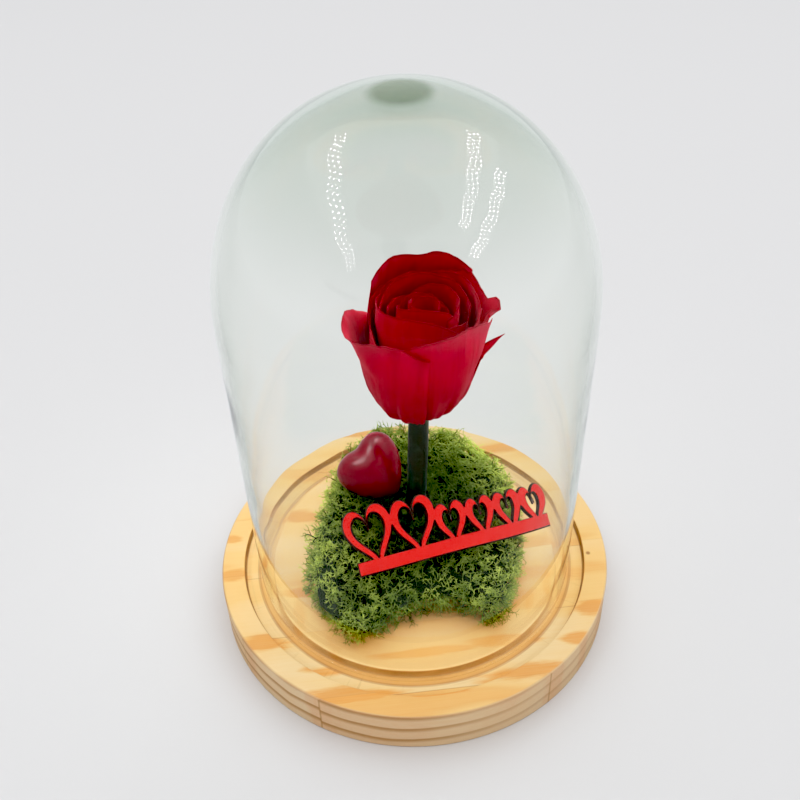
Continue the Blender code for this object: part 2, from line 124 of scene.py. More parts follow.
class Graph:
    """Node tree of one finish's material, or of the world."""

    def __init__(self, name: str) -> None:
        """Start an empty material.

        Args:
            name: The material's name.
        """
        self.material = bpy.data.materials.new(name)
        self.material.use_nodes = True
        self.tree = self.material.node_tree
        self.tree.nodes.clear()

    @classmethod
    def of_tree(cls, tree: bpy.types.NodeTree) -> "Graph":
        """Graph that fills a given node tree, emptied first.

        Args:
            tree: The node tree.

        Returns:
            The graph.
        """
        graph = cls.__new__(cls)
        graph.tree = tree
        tree.nodes.clear()
        return graph

    def add(self, kind: str, settings: dict[str, Any] | None = None,
            inputs: dict[Any, Any] | None = None) -> bpy.types.Node:
        """Add a node.

        Args:
            kind: The node's type.
            settings: Its properties, set before its sockets.
            inputs: Values or signals for its input sockets, by name or index.

        Returns:
            The new node.
        """
        node = self.tree.nodes.new(kind)
        for key, value in (settings or {}).items():
            setattr(node, key, value)
        for key, value in (inputs or {}).items():
            if isinstance(value, Signal):
                self.tree.links.new(value.socket, node.inputs[key])
            else:
                node.inputs[key].default_value = value
        return node

    def signal(self, node: bpy.types.Node, output: Any = 0) -> Signal:
        """Signal of a node's output, by name or index."""
        return Signal(self, node.outputs[output])

    def math(self, operation: str, *operands: Any) -> Signal:
        """Math node on numbers or signals, in their order."""
        return self.signal(self.add("ShaderNodeMath", {"operation": operation}, dict(enumerate(operands))))

    def vector_math(self, operation: str, *operands: Any, output: Any = 0) -> Signal:
        """Vector Math node on vectors, in their order."""
        node = self.add("ShaderNodeVectorMath", {"operation": operation}, dict(enumerate(operands)))
        return self.signal(node, output)

    def attribute(self, name: str) -> Signal:
        """Number that the mesh keeps for each of its points."""
        return self.signal(self.add("ShaderNodeAttribute", {"attribute_name": name}), "Fac")

    def place(self) -> Signal:
        """Position on the object, in metres in the part's frame."""
        return self.signal(self.add("ShaderNodeTexCoord"), "Object")

    def axes(self, vector: Signal) -> list[Signal]:
        """X, Y and Z of a vector."""
        node = self.add("ShaderNodeSeparateXYZ", inputs={0: vector})
        return [self.signal(node, axis) for axis in "XYZ"]

    @staticmethod
    def radius(x: Signal, y: Signal) -> Signal:
        """Distance from the upright axis, from the distances along X and Y."""
        return (x * x + y * y).math("SQRT")

    def vector(self, x: Any, y: Any, z: Any) -> Signal:
        """Vector from three numbers or signals."""
        return self.signal(self.add("ShaderNodeCombineXYZ", inputs={0: x, 1: y, 2: z}))

    def stretch(self, vector: Signal, factors: Sequence[float]) -> Signal:
        """Vector with each axis multiplied by its own factor."""
        return self.vector_math("MULTIPLY", vector, factors)

    def noise(self, vector: Signal, scale: float, detail: float = 2.0, roughness: float = 0.5) -> Signal:
        """Noise from 0 to 1 over a vector."""
        return self.signal(self.add("ShaderNodeTexNoise", inputs={
            "Vector": vector, "Scale": scale, "Detail": detail, "Roughness": roughness}))

    def smooth(self, value: Signal, low: float, high: float) -> Signal:
        """Smooth step from 0 at a low value to 1 at a high one."""
        return self.signal(self.add("ShaderNodeMapRange", {"interpolation_type": "SMOOTHSTEP"},
                                    {0: value, 1: low, 2: high}))

    def near(self, value: Signal, centre: float, width: float) -> Signal:
        """1 where a value is close to a centre, falling to 0 at a distance of the width."""
        return 1 - self.smooth((value - centre).math("ABSOLUTE"), width / 2, width)

    def mix(self, share: Any, first: Any, second: Any) -> Signal:
        """Colour between two colours or signals, by a share from 0 to 1.

        Args:
            share: Share of the second colour.
            first: Colour at a share of 0.
            second: Colour at a share of 1.

        Returns:
            The mixed colour.
        """
        first, second = ((*colour, 1.0) if isinstance(colour, tuple) else colour
                         for colour in (first, second))
        node = self.add("ShaderNodeMix", {"data_type": "RGBA"}, {0: share, 6: first, 7: second})
        return self.signal(node, 2)

    def bump(self, height: Signal, distance: float, strength: float = 1.0) -> Signal:
        """Normal bent by a height from 0 to 1 that stands for a distance in metres."""
        return self.signal(self.add("ShaderNodeBump", inputs={
            "Height": height, "Distance": distance, "Strength": strength}))

    def finish(self, **inputs: Any) -> bpy.types.Material:
        """Close the graph with a Principled shader.

        Args:
            **inputs: The shader's sockets by name, with underscores for spaces.

        Returns:
            The finished material.
        """
        named = {key.replace("_", " "): value for key, value in inputs.items()}
        shader = self.add("ShaderNodeBsdfPrincipled", inputs=named)
        self.output = self.add("ShaderNodeOutputMaterial", inputs={"Surface": self.signal(shader)})
        return self.material


@dataclass(frozen=True)
class PineFinish:
    """Pale pine planks glued side by side, with orange latewood, a scorched groove and painted shade.

    Knots are (x, y, radius) and flames are (x, y, length, width), in millimetres.
    """

    groove_inner: float
    groove_outer: float
    pale: Colour = (0.82, 0.535, 0.275)
    warm: Colour = (0.82, 0.455, 0.17)
    late: Colour = (0.77, 0.30, 0.075)
    # Colour of the painted shade inside the glass and under its foot.
    shade_amber: Colour = (0.60, 0.27, 0.075)
    end: Colour = (0.82, 0.66, 0.45)
    line: Colour = (0.42, 0.19, 0.06)
    # Colour of the knots and scorch marks, and of the painted shade on the groove walls and by the glass
    # foot.
    scorched: Colour = (0.20, 0.085, 0.025)
    grain_turn: float = math.radians(-5.9)
    plank_width: float = 33.0 * MM
    plank_start: float = 5.5 * MM
    ring_spacing: float = 7.4 * MM
    ring_start: float = 0.3 * MM
    foot_outer: float = 68.6 * MM
    side_start: float = 84.0 * MM
    end_start: float = 84.2 * MM
    side_full: float = 84.9 * MM
    knots: Sequence[tuple[float, float, float]] = (
        (-21.3, -67.9, 0.7), (76.9, -5.2, 1.3), (-33.0, 71.0, 1.1))
    flames: Sequence[tuple[float, float, float, float]] = (
        (-79.0, -13.0, 9.0, 4.5), (-62.0, -49.0, 12.0, 5.5), (-28.0, -74.0, 27.0, 4.6),
        (10.0, -74.0, 14.0, 1.5), (43.0, -65.0, 24.0, 5.0), (74.0, -35.0, 10.0, 5.0),
        (-20.0, 79.0, 25.0, 3.0), (48.0, 66.0, 22.0, 4.0), (-54.0, 22.0, 12.0, 5.0),
        (-47.0, -22.0, 14.0, 3.2), (36.0, -49.0, 20.0, 3.6), (49.0, 12.0, 13.0, 4.0),
        (-82.0, 8.0, 6.0, 3.0), (-36.0, -61.5, 12.0, 3.4), (4.0, -54.0, 26.0, 2.6),
        (66.0, -50.0, 9.0, 4.0))

    def material(self) -> bpy.types.Material:
        """Build the pine material.

        Returns:
            The material.
        """
        graph = Graph("pine")
        place = graph.place()
        turned = graph.signal(graph.add("ShaderNodeVectorRotate", {"rotation_type": "Z_AXIS"},
                                        {"Vector": place, "Angle": self.grain_turn}))
        along, across, up = graph.axes(turned)
        row = (across + self.plank_start) / self.plank_width
        plank = row.math("FLOOR")
        toss = graph.add("ShaderNodeTexWhiteNoise", {"noise_dimensions": "1D"}, {"W": plank})
        first, second, third = graph.axes(graph.signal(toss, "Color"))
        shifted = graph.vector(along + first * 3.0, across + second * 2.0, up)
        sweep = graph.noise(graph.stretch(shifted, (9.0, 46.0, 18.0)), 1.0, 2.0, 0.5)
        fibre = graph.noise(graph.stretch(shifted, (45.0, 1500.0, 1500.0)), 1.0, 2.0)
        flames = (self._flames(graph, turned) + graph.smooth(sweep, 0.56, 0.64) * 0.55).math("MINIMUM", 1.0)
        x, _, _ = graph.axes(place)
        sides = graph.smooth(x.math("ABSOLUTE"), 48.0 * MM, 80.0 * MM)
        warmth = graph.smooth(sweep, 0.38, 0.6) * 0.75 + third * 0.15 + sides * 0.5
        tone = graph.mix(warmth.math("MINIMUM", 1.0), self.pale, self.warm)
        tone = graph.mix(flames * (0.62 + fibre * 0.5), tone, self.late)
        tone = self._shaded(graph, place, tone)
        tone = graph.mix(self._rings(graph, place, sweep, flames), tone, self.line)
        tone = graph.mix(graph.smooth(fibre, 0.35, 0.75) * 0.10, tone, self.late)
        edge = row.math("FRACT")
        joint = graph.near(edge.math("MINIMUM", 1 - edge), 0.0, 0.009)
        joint = joint * (1 - graph.smooth(up, BASE_TOP - 0.8 * MM, BASE_TOP - 0.4 * MM) * 0.7)
        tone = graph.mix(joint * 0.5, tone, self.line)
        tone = graph.mix(self._knots(graph, place), tone, self.scorched)
        # Scorch marks, with painted shade on the groove walls and a painted contact shadow of the glass
        # foot.
        tone = graph.mix(self._scorch_and_shadow(graph, place), tone, self.scorched)
        return graph.finish(Base_Color=tone, Roughness=0.40 + fibre * 0.16, Coat_Weight=0.12,
                            Coat_Roughness=0.35, Normal=graph.bump(fibre - joint * 0.6, 0.06 * MM, 0.7))

    def _flames(self, graph: Graph, turned: Signal) -> Signal:
        """Long orange patches where the saw met a layer of latewood, with feathered ends.

        Args:
            graph: The pine's nodes.
            turned: Place on the board, turned to lie along the grain.

        Returns:
            1 in the middle of a patch, 0 outside.
        """
        feather = graph.noise(graph.stretch(turned, (60.0, 420.0, 60.0)), 1.0, 3.0, 0.6)
        cosine, sine = math.cos(self.grain_turn), math.sin(self.grain_turn)
        total = None
        for x, y, length, width in self.flames:
            centre = ((x * cosine - y * sine) * MM, (x * sine + y * cosine) * MM, 0.0)
            offset = graph.vector_math("SUBTRACT", turned, centre)
            scaled = graph.stretch(offset, (1 / (length * MM), 1 / (width * MM), 0.0))
            distance = graph.vector_math("LENGTH", scaled, output="Value")
            patch = 1 - graph.smooth(distance + feather * 0.9, 0.95, 1.45)
            total = patch if total is None else total.math("MAXIMUM", patch)
        return total

    def _shaded(self, graph: Graph, place: Signal, tone: Signal) -> Signal:
        """Tone darkened with painted shade inside the glass and under its foot, most in front, and paler on
        the side.

        Args:
            graph: The pine's nodes.
            place: Place on the board.
            tone: The wood's colour so far.

        Returns:
            The shaded colour.
        """
        x, y, z = graph.axes(place)
        radius = graph.radius(x, y)
        front = 1 - graph.smooth(y, -65.0 * MM, 5.0 * MM)
        inside = 1 - graph.smooth(radius, self.groove_inner - 1.0 * MM, self.groove_inner)
        foot = graph.smooth(radius, self.groove_inner - 0.5 * MM, self.groove_inner) * (
            1 - graph.smooth(radius, self.foot_outer, self.foot_outer + 0.9 * MM))
        # Painted shade: the board inside the glass and under its foot is darkened, most in front, where the
        # glass and the moss shade it.
        deep = inside * (0.22 + front * 0.42) + foot * (0.55 + front * 0.42)
        tone = graph.mix(deep * self._upper(graph, z), tone, self.shade_amber)
        return graph.mix(graph.smooth(radius, self.end_start, self.side_full) * 0.6, tone, self.end)

    def _upper(self, graph: Graph, z: Signal) -> Signal:
        """1 on the board's top and in its groove, 0 below them on its side."""
        return graph.smooth(z, BASE_TOP - 6 * MM, BASE_TOP - 5 * MM)

    def _rings(self, graph: Graph, place: Signal, sweep: Signal, flames: Signal) -> Signal:
        """Dark growth lines along the board's side, near its left and front, that fade to the right.

        Args:
            graph: The pine's nodes.
            place: Place on the board.
            sweep: Broad waves of the grain.
            flames: The orange patches.

        Returns:
            How dark the lines are.
        """
        x, y, z = graph.axes(place)
        depth = z + self.ring_start + (sweep - 0.5) * 6.0 * MM
        phase = (depth / self.ring_spacing).math("FRACT")
        line = graph.smooth(phase, 0.5, 0.86) * (1 - graph.smooth(phase, 0.9, 0.99))
        radius = graph.radius(x, y)
        side = graph.smooth(radius, self.side_start, self.side_full)
        left = 1 - graph.smooth(x, -10.0 * MM, 45.0 * MM)
        front = 1 - graph.smooth(y, 10.0 * MM, 40.0 * MM)
        share = 0.32 + 0.4 * left * front
        return line * (side * share + (1 - side) * flames * 0.18)

    def _knots(self, graph: Graph, place: Signal) -> Signal:
        """A few small dark pin knots.

        Args:
            graph: The pine's nodes.
            place: Place on the board.

        Returns:
            How dark the knots are.
        """
        total = None
        for x, y, radius in self.knots:
            away = graph.vector_math("DISTANCE", place, (x * MM, y * MM, BASE_TOP), output="Value")
            knot = 1 - graph.smooth(away, radius * 0.4 * MM, radius * MM)
            total = knot if total is None else total + knot
        return total * 0.75

    def _scorch_and_shadow(self, graph: Graph, place: Signal) -> Signal:
        """Cutter burns and painted shade: dark groove walls, a shadow painted by the glass foot, ticks
        across the groove floor and arcs beside it.

        Args:
            graph: The pine's nodes.
            place: Place on the board.

        Returns:
            How dark the marks are.
        """
        x, y, z = graph.axes(place)
        radius = graph.radius(x, y)
        turn = y.math("ARCTAN2", x)
        below = 1 - graph.smooth(z, BASE_TOP - 0.5 * MM, BASE_TOP - 0.1 * MM)
        above = self._upper(graph, z)
        # The groove walls are darkened by scorch and painted shade, and the line just outside the glass foot
        # is a painted contact shadow.
        walls = (graph.near(radius, self.groove_outer, 1.1 * MM) * 0.85
                 + graph.near(radius, self.groove_inner, 0.9 * MM) * 0.6
                 + graph.near(radius, self.foot_outer + 0.5 * MM, 0.8 * MM) * 0.45)
        arcs = graph.noise(graph.vector(turn * 2.2, radius * 900.0, 0.0), 1.0, 3.0)
        ticks = graph.noise(graph.vector(turn * 70.0, radius * 60.0, 3.0), 1.0, 2.0)
        spread = graph.noise(graph.vector(turn * 1.3, 0.0, 7.0), 1.0)
        inside = graph.near(radius, (self.groove_inner + self.groove_outer) / 2, 13.0 * MM)
        patchy = 0.5 + graph.noise(graph.vector(turn * 5.0, z * 200.0, 0.0), 1.0) * 0.9
        swept = graph.smooth(arcs, 0.5, 0.8) * 0.14
        ticked = graph.smooth(ticks, 0.6, 0.75) * graph.smooth(spread, 0.4, 0.6) * 0.22
        marks = walls * patchy + inside * (swept + ticked)
        return (marks * below * above).math("MINIMUM", 0.92)


@dataclass(frozen=True)
class GlassFinish:
    """Clear, faintly green blown glass."""

    ior: float = 1.38
    tint: Colour = (0.64, 0.92, 0.63)
    density: float = 25.0
    clear: Colour = (1.0, 1.0, 1.0)
    grey: Colour = (0.765, 0.80, 0.762)
    olive: Colour = (0.22, 0.28, 0.185)
    knob_radius: float = 12.8 * MM

    def material(self) -> bpy.types.Material:
        """Build the glass material, see-through by transmission and absorption.

        Returns:
            The material.
        """
        graph = Graph("clear_glass")
        place = graph.place()
        x, y, z = graph.axes(place)
        radius = graph.radius(x, y)
        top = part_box("glass_dome")[1].z
        tone = graph.mix(graph.smooth(z, top - 50.0 * MM, top - 12.0 * MM), self.clear, self.grey)
        knob = (1 - graph.smooth(radius, self.knob_radius * 0.6, self.knob_radius)) * graph.smooth(
            z, top - 3.2 * MM, top - 2.4 * MM)
        tone = graph.mix(knob, tone, self.olive)
        specks = graph.noise(graph.stretch(place, (60.0, 60.0, 25.0)), 1.0, 2.0)
        material = graph.finish(Base_Color=tone, Roughness=specks * 0.004, IOR=self.ior,
                                Transmission_Weight=1.0)
        absorption = graph.add("ShaderNodeVolumeAbsorption",
                               inputs={"Color": (*self.tint, 1.0), "Density": self.density})
        graph.tree.links.new(absorption.outputs[0], graph.output.inputs["Volume"])
        return material


@dataclass(frozen=True)
class PetalFinish:
    """Preserved rose petal: velvet red with faint veins, and painted shade, light and pink sheen."""

    bright: Colour = (0.49, 0.009, 0.028)
    # Paler pink of the painted sheen on the open petals' upper parts.
    painted_sheen: Colour = (0.62, 0.022, 0.058)
    # Dark red of the painted shade at the foot, also used for the streaks and the mottling.
    deep: Colour = (0.24, 0.003, 0.014)
    # Dark red of the veins, also used for the painted shade along each rim.
    rim: Colour = (0.24, 0.003, 0.010)
    # Middle red of the inner petals, as painted light in their depths and painted shade at their rims.
    heart: Colour = (0.38, 0.009, 0.020)

    def material(self) -> bpy.types.Material:
        """Build the petal material.

        Returns:
            The material.
        """
        graph = Graph("velvet_petal")
        place = graph.place()
        reach = graph.attribute("reach")
        side = graph.attribute("across")
        layer = graph.attribute("layer")
        cloud = graph.noise(place, 130.0, 3.0)
        veins = graph.noise(graph.vector(side * 34.0, reach * 2.5, 0.0), 1.0, 3.0, 0.6)
        streaks = graph.noise(graph.vector(side * 11.0, reach * 1.6, 4.0), 1.0, 2.0, 0.5)
        # Partly the petal's own deeper red and partly painted shade, darker towards the foot deep in the
        # cup.
        tone = graph.mix(graph.smooth(reach, 0.08, 0.75), self.deep, self.bright)
        # Painted sheen: the open outer petals' upper parts are painted a paler pink in soft patches, where
        # they catch the light.
        open_rim = graph.smooth(reach, 0.6, 0.86) * graph.smooth(layer, 0.78, 0.88)
        wear_and_sheen = open_rim * graph.smooth(cloud, 0.3, 0.6)
        tone = graph.mix(wear_and_sheen * 0.6, tone, self.painted_sheen)
        tone = graph.mix(graph.smooth(streaks, 0.3, 0.75) * 0.30, tone, self.deep)
        tone = graph.mix(graph.smooth(cloud, 0.42, 0.72) * 0.22, tone, self.deep)
        tone = graph.mix(graph.smooth(veins, 0.5, 0.8) * 0.12, tone, self.rim)
        # Painted light and shade on the inner petals: their colour is drawn towards one middle red, lighter
        # than the shade at the foot and darker than the lit rims.
        tone = graph.mix((1 - graph.smooth(layer, 0.0, 0.75)) * 0.7, tone, self.heart)
        # Painted shade along the very rim of each petal.
        tone = graph.mix(graph.smooth(reach, 0.975, 0.995) * 0.7, tone, self.rim)
        relief = graph.bump(veins * 0.4 + cloud * 0.6 + streaks * 0.8, 0.22 * MM, 0.5)
        return graph.finish(Base_Color=tone, Roughness=0.62 + cloud * 0.2, Specular_IOR_Level=0.22,
                            Sheen_Weight=0.20, Sheen_Roughness=0.5, Sheen_Tint=(1.0, 0.16, 0.24, 1.0),
                            Normal=relief)


@dataclass(frozen=True)
class StemFinish:
    """Stem wrapped in dark green-black tape with faint lengthwise creases."""

    dark: Colour = (0.006, 0.014, 0.011)
    wear_and_sheen: Colour = (0.030, 0.050, 0.036)

    def material(self) -> bpy.types.Material:
        """Build the stem material.

        Returns:
            The material.
        """
        graph = Graph("taped_stem")
        place = graph.place()
        creases = graph.noise(graph.stretch(place, (420.0, 420.0, 26.0)), 1.0, 3.0)
        dust = graph.noise(place, 520.0, 4.0)
        tone = graph.mix(graph.smooth(dust, 0.5, 0.8) * 0.8, self.dark, self.wear_and_sheen)
        return graph.finish(Base_Color=tone, Roughness=0.34 + dust * 0.3,
                            Normal=graph.bump(creases, 0.25 * MM, 0.6))


@dataclass(frozen=True)
class MossFinish:
    """Preserved moss, dark at its roots, with yellow-green tips, brown ends, and painted light and shade."""

    root: Colour = (0.020, 0.030, 0.016)
    leaf: Colour = (0.120, 0.184, 0.042)
    tip: Colour = (0.61, 0.71, 0.14)
    dry: Colour = (0.20, 0.15, 0.03)
    # Painted shadow of the flower on the clump: darkest within the first radius from this centre, gone past
    # the second.
    shadow_centre: tuple[float, float] = (5.0 * MM, 2.0 * MM)
    shadow_radius: float = 18.0 * MM
    full_radius: float = 38.0 * MM

    def material(self) -> bpy.types.Material:
        """Build the moss material from each branch's own reach and the place in the clump.

        Returns:
            The material.
        """
        graph = Graph("preserved_moss")
        place = graph.place()
        x, y, height = graph.axes(place)
        reach = graph.attribute("reach")
        toss = graph.attribute("toss")
        cloud = graph.noise(place, 75.0, 2.0)
        # Painted shade: the clump is darker in its middle, where the flower's shadow falls on it.
        away = graph.radius(x - self.shadow_centre[0], y - self.shadow_centre[1])
        outer = graph.smooth(away, self.shadow_radius, self.full_radius)
        tone = graph.mix(graph.smooth(reach, 0.15, 0.75) * (0.62 + outer * 0.38), self.root, self.leaf)
        # Painted light: the tips are lighter at the back, at the sides and in patches, outside the painted
        # shade in the middle.
        patch = graph.smooth(cloud, 0.42, 0.62)
        back = graph.smooth(y, -46.0 * MM, -22.0 * MM)
        sides = graph.smooth(x.math("ABSOLUTE"), 22.0 * MM, 40.0 * MM) * back
        light = 0.04 + outer * (0.12 + back * 0.12 + patch * 0.5 + sides * 0.28)
        lit = graph.smooth(reach, 0.4, 1.0) * light
        tone = graph.mix((lit * (0.45 + toss * 0.9)).math("MINIMUM", 1.0), tone, self.tip)
        low = (1 - graph.smooth(height, BASE_TOP, BASE_TOP + 9.0 * MM)) * graph.smooth(cloud, 0.4, 0.6)
        tone = graph.mix(low * graph.smooth(reach, 0.3, 0.8) * 0.75, tone, self.dry)
        return graph.finish(Base_Color=tone, Roughness=0.72 + toss * 0.15, Specular_IOR_Level=0.25)


@dataclass(frozen=True)
class HeartFinish:
    """Deep red moulded heart under a clear gloss."""

    red: Colour = (0.20, 0.004, 0.016)
    plum: Colour = (0.085, 0.003, 0.016)

    def material(self) -> bpy.types.Material:
        """Build the glossy heart material.

        Returns:
            The material.
        """
        graph = Graph("glossy_red")
        place = graph.place()
        _, _, height = graph.axes(place)
        cloud = graph.noise(place, 90.0, 2.0)
        # Painted shade: the heart turns darker plum towards its lower part.
        shade = graph.smooth(height + cloud * 6.0 * MM, 55.0 * MM, 72.0 * MM)
        tone = graph.mix(shade, self.plum, self.red)
        return graph.finish(Base_Color=tone, Roughness=0.24 + cloud * 0.08, Specular_IOR_Level=0.1,
                            Coat_Weight=0.36, Coat_Roughness=0.03, Normal=graph.bump(cloud, 0.35 * MM, 0.5))


@dataclass(frozen=True)
class PaintFinish:
    """Bright red paint on the ornament's face, dulled a little in soft patches."""

    red: Colour = (0.59, 0.009, 0.008)
    dull: Colour = (0.42, 0.008, 0.006)

    def material(self) -> bpy.types.Material:
        """Build the paint material.

        Returns:
            The material.
        """
        graph = Graph("red_paint")
        place = graph.place()
        cloud = graph.noise(place, 160.0, 4.0)
        weave = graph.noise(graph.stretch(place, (400.0, 2400.0, 2400.0)), 1.0, 2.0)
        tone = graph.mix(graph.smooth(cloud, 0.5, 0.8) * 0.4, self.red, self.dull)
        return graph.finish(Base_Color=tone, Roughness=0.46 + cloud * 0.16, Specular_IOR_Level=0.25,
                            Normal=graph.bump(weave * 0.5 + cloud, 0.05 * MM, 0.7))


@dataclass(frozen=True)
class CharFinish:
    """Sooty brown-black edge that the cut left on the ornament."""

    soot: Colour = (0.016, 0.008, 0.007)
    brown: Colour = (0.085, 0.022, 0.014)

    def material(self) -> bpy.types.Material:
        """Build the burnt edge material.

        Returns:
            The material.
        """
        graph = Graph("burnt_edge")
        place = graph.place()
        streaks = graph.noise(graph.stretch(place, (1600.0, 500.0, 500.0)), 1.0, 3.0)
        tone = graph.mix(graph.smooth(streaks, 0.4, 0.75), self.soot, self.brown)
        return graph.finish(Base_Color=tone, Roughness=0.75 + streaks * 0.15,
                            Normal=graph.bump(streaks, 0.08 * MM, 0.8))


@dataclass(frozen=True)
class FloorFinish:
    """Plain pale tabletop."""

    pale: Colour = (0.66, 0.655, 0.66)
    grey: Colour = (0.63, 0.625, 0.63)

    def material(self) -> bpy.types.Material:
        """Build the tabletop material.

        Returns:
            The material.
        """
        graph = Graph("pale_table")
        cloud = graph.noise(graph.place(), 6.0, 2.0)
        tone = graph.mix(cloud * 0.2, self.pale, self.grey)
        return graph.finish(Base_Color=tone, Roughness=0.6 + cloud * 0.05)


def add_piece(name: str, mesh: bpy.types.Mesh, slot: Slot, *nodes: str) -> bpy.types.Object:
    """Link a finished mesh as a piece that stands for CAD nodes.

    Args:
        name: The piece's name.
        mesh: Its mesh, in the part's frame, with its materials.
        slot: The record's slot for the piece's finish; not used.
        *nodes: The CAD nodes that it stands for.

    Returns:
        The piece.
    """
    piece = bpy.data.objects.new(name, mesh)
    bpy.context.scene.collection.objects.link(piece)
    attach(piece, BODY)
    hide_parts(*nodes)
    LOG.info("%s: %d faces", name, len(mesh.polygons))
    return piece


def mesh_from_arrays(name: str, points: np.ndarray, faces: np.ndarray) -> bpy.types.Mesh:
    """Mesh from an array of points and an array of faces that all have the same number of corners.

    Args:
        name: The mesh's name.
        points: Its points, three numbers to a row.
        faces: Its faces' point numbers, one face to a row.

    Returns:
        The mesh.
    """
    mesh = bpy.data.meshes.new(name)
    corners = faces.shape[1]
    mesh.vertices.add(len(points))
    mesh.vertices.foreach_set("co", points.astype(np.float32).ravel())
    mesh.loops.add(faces.size)
    mesh.loops.foreach_set("vertex_index", faces.astype(np.int32).ravel())
    mesh.polygons.add(len(faces))
    mesh.polygons.foreach_set("loop_start", np.arange(0, faces.size, corners, dtype=np.int32))
    mesh.update(calc_edges=True)
    return mesh


def store(shape: bmesh.types.BMesh, mesh: bpy.types.Mesh) -> bpy.types.Mesh:
    """Write a worked shape into a mesh, and free the shape.

    Args:
        shape: The shape.
        mesh: The mesh that takes it.

    Returns:
        The mesh.
    """
    shape.to_mesh(mesh)
    shape.free()
    return mesh


def shade(mesh: bpy.types.Mesh, smooth_angle: float) -> bpy.types.Mesh:
    """Shade a mesh smooth except at its sharp edges.

    Args:
        mesh: The mesh.
        smooth_angle: Angle in degrees from which an edge is sharp.

    Returns:
        The mesh.
    """
    mesh.shade_smooth()
    mesh.set_sharp_from_angle(angle=math.radians(smooth_angle))
    return mesh


def noise_round(turn: float, scale: float, level: float) -> float:
    """Noise from -1 to 1 that closes on itself round a turn, finer at a larger scale."""
    return noise.noise(Vector((math.cos(turn) * scale, math.sin(turn) * scale, level)))


def clean_mesh(mesh: bpy.types.Mesh, smooth_angle: float) -> bpy.types.Mesh:
    """Merge points that meet, turn all faces outwards and shade smooth except at sharp edges.

    Args:
        mesh: The mesh.
        smooth_angle: Angle in degrees from which an edge is sharp.

    Returns:
        The mesh.
    """
    shape = bmesh.new()
    shape.from_mesh(mesh)
    bmesh.ops.remove_doubles(shape, verts=shape.verts, dist=1e-7)
    bmesh.ops.recalc_face_normals(shape, faces=shape.faces)
    return shade(store(shape, mesh), smooth_angle)


def set_attribute(mesh: bpy.types.Mesh, name: str, values: np.ndarray) -> None:
    """Store one number for each point of a mesh."""
    mesh.attributes.new(name, "FLOAT", "POINT").data.foreach_set("value", values.astype(np.float32))


def lattice(rows: int, columns: int, wrap_rows: bool, wrap_columns: bool) -> np.ndarray:
    """Quads between the points of a grid.

    Args:
        rows: Number of rows of points.
        columns: Number of points in a row.
        wrap_rows: Whether the last row joins the first.
        wrap_columns: Whether each row closes on itself.

    Returns:
        The quads' point numbers, four to a row.
    """
    row = np.arange(rows if wrap_rows else rows - 1)[:, None]
    column = np.arange(columns if wrap_columns else columns - 1)[None, :]
    next_row, next_column = (row + 1) % rows, (column + 1) % columns
    corners = [row * columns + column, row * columns + next_column,
               next_row * columns + next_column, next_row * columns + column]
    return np.stack([corner.ravel() for corner in np.broadcast_arrays(*corners)], axis=1)


def turned_mesh(name: str, profile: Sequence[tuple[float, float]], segments: int) -> bpy.types.Mesh:
    """Closed solid of revolution about Z from a closed (radius, height) profile.

    Args:
        name: The mesh's name.
        profile: The solid's section.
        segments: Number of steps round the axis.

    Returns:
        The mesh.
    """
    turn = np.linspace(0.0, 2 * math.pi, segments, endpoint=False)
    radius, height = np.array(profile).T
    points = np.stack([radius[:, None] * np.cos(turn), radius[:, None] * np.sin(turn),
                       np.repeat(height[:, None], segments, axis=1)], axis=2)
    faces = lattice(len(profile), segments, True, True)
    return mesh_from_arrays(name, points.reshape(-1, 3), faces)


def arc(centre: tuple[float, float], radius: float, start: float, end: float, steps: int) -> Outline:
    """Points on an arc in the (radius, height) plane, from a start to an end angle in degrees."""
    turns = [math.radians(start + (end - start) * step / steps) for step in range(steps + 1)]
    return [(centre[0] + radius * math.cos(turn), centre[1] + radius * math.sin(turn)) for turn in turns]


@dataclass
class WoodBase:
    """Round board with eased edges and a ring groove."""

    radius: float = 85.0 * MM
    thickness: float = 20.7 * MM
    edge: float = 0.8 * MM
    groove_inner: float = 63.0 * MM
    groove_outer: float = 75.2 * MM
    groove_depth: float = 3.0 * MM
    lip: float = 0.35 * MM
    segments: int = 256

    def profile(self) -> Outline:
        """Closed outline of the board's section.

        Returns:
            The outline's points.
        """
        rim, top = self.radius - self.edge, self.thickness - self.edge
        floor = self.thickness - self.groove_depth
        outline = [(0.0, 0.0), (self.radius * 0.5, 0.0)]
        outline += arc((rim, self.edge), self.edge, -90, 0, 4)
        outline += arc((rim, top), self.edge, 0, 90, 5)
        outline += arc((self.groove_outer + self.lip, self.thickness - self.lip), self.lip, 90, 180, 3)
        outline += [(self.groove_outer, floor + self.lip), (self.groove_outer - self.lip, floor)]
        outline += [(self.groove_inner + self.lip, floor), (self.groove_inner, floor + self.lip)]
        outline += arc((self.groove_inner - self.lip, self.thickness - self.lip), self.lip, 0, 90, 3)
        outline += [(self.radius * 0.4, self.thickness), (0.0, self.thickness)]
        return outline

    def build(self) -> None:
        """Make the board and dress it in pine."""
        mesh = clean_mesh(turned_mesh("pine_board", self.profile(), self.segments), 50.0)
        mesh.materials.append(PineFinish(self.groove_inner, self.groove_outer).material())
        add_piece("pine_board", mesh, Slot.PINE, "wood_base")


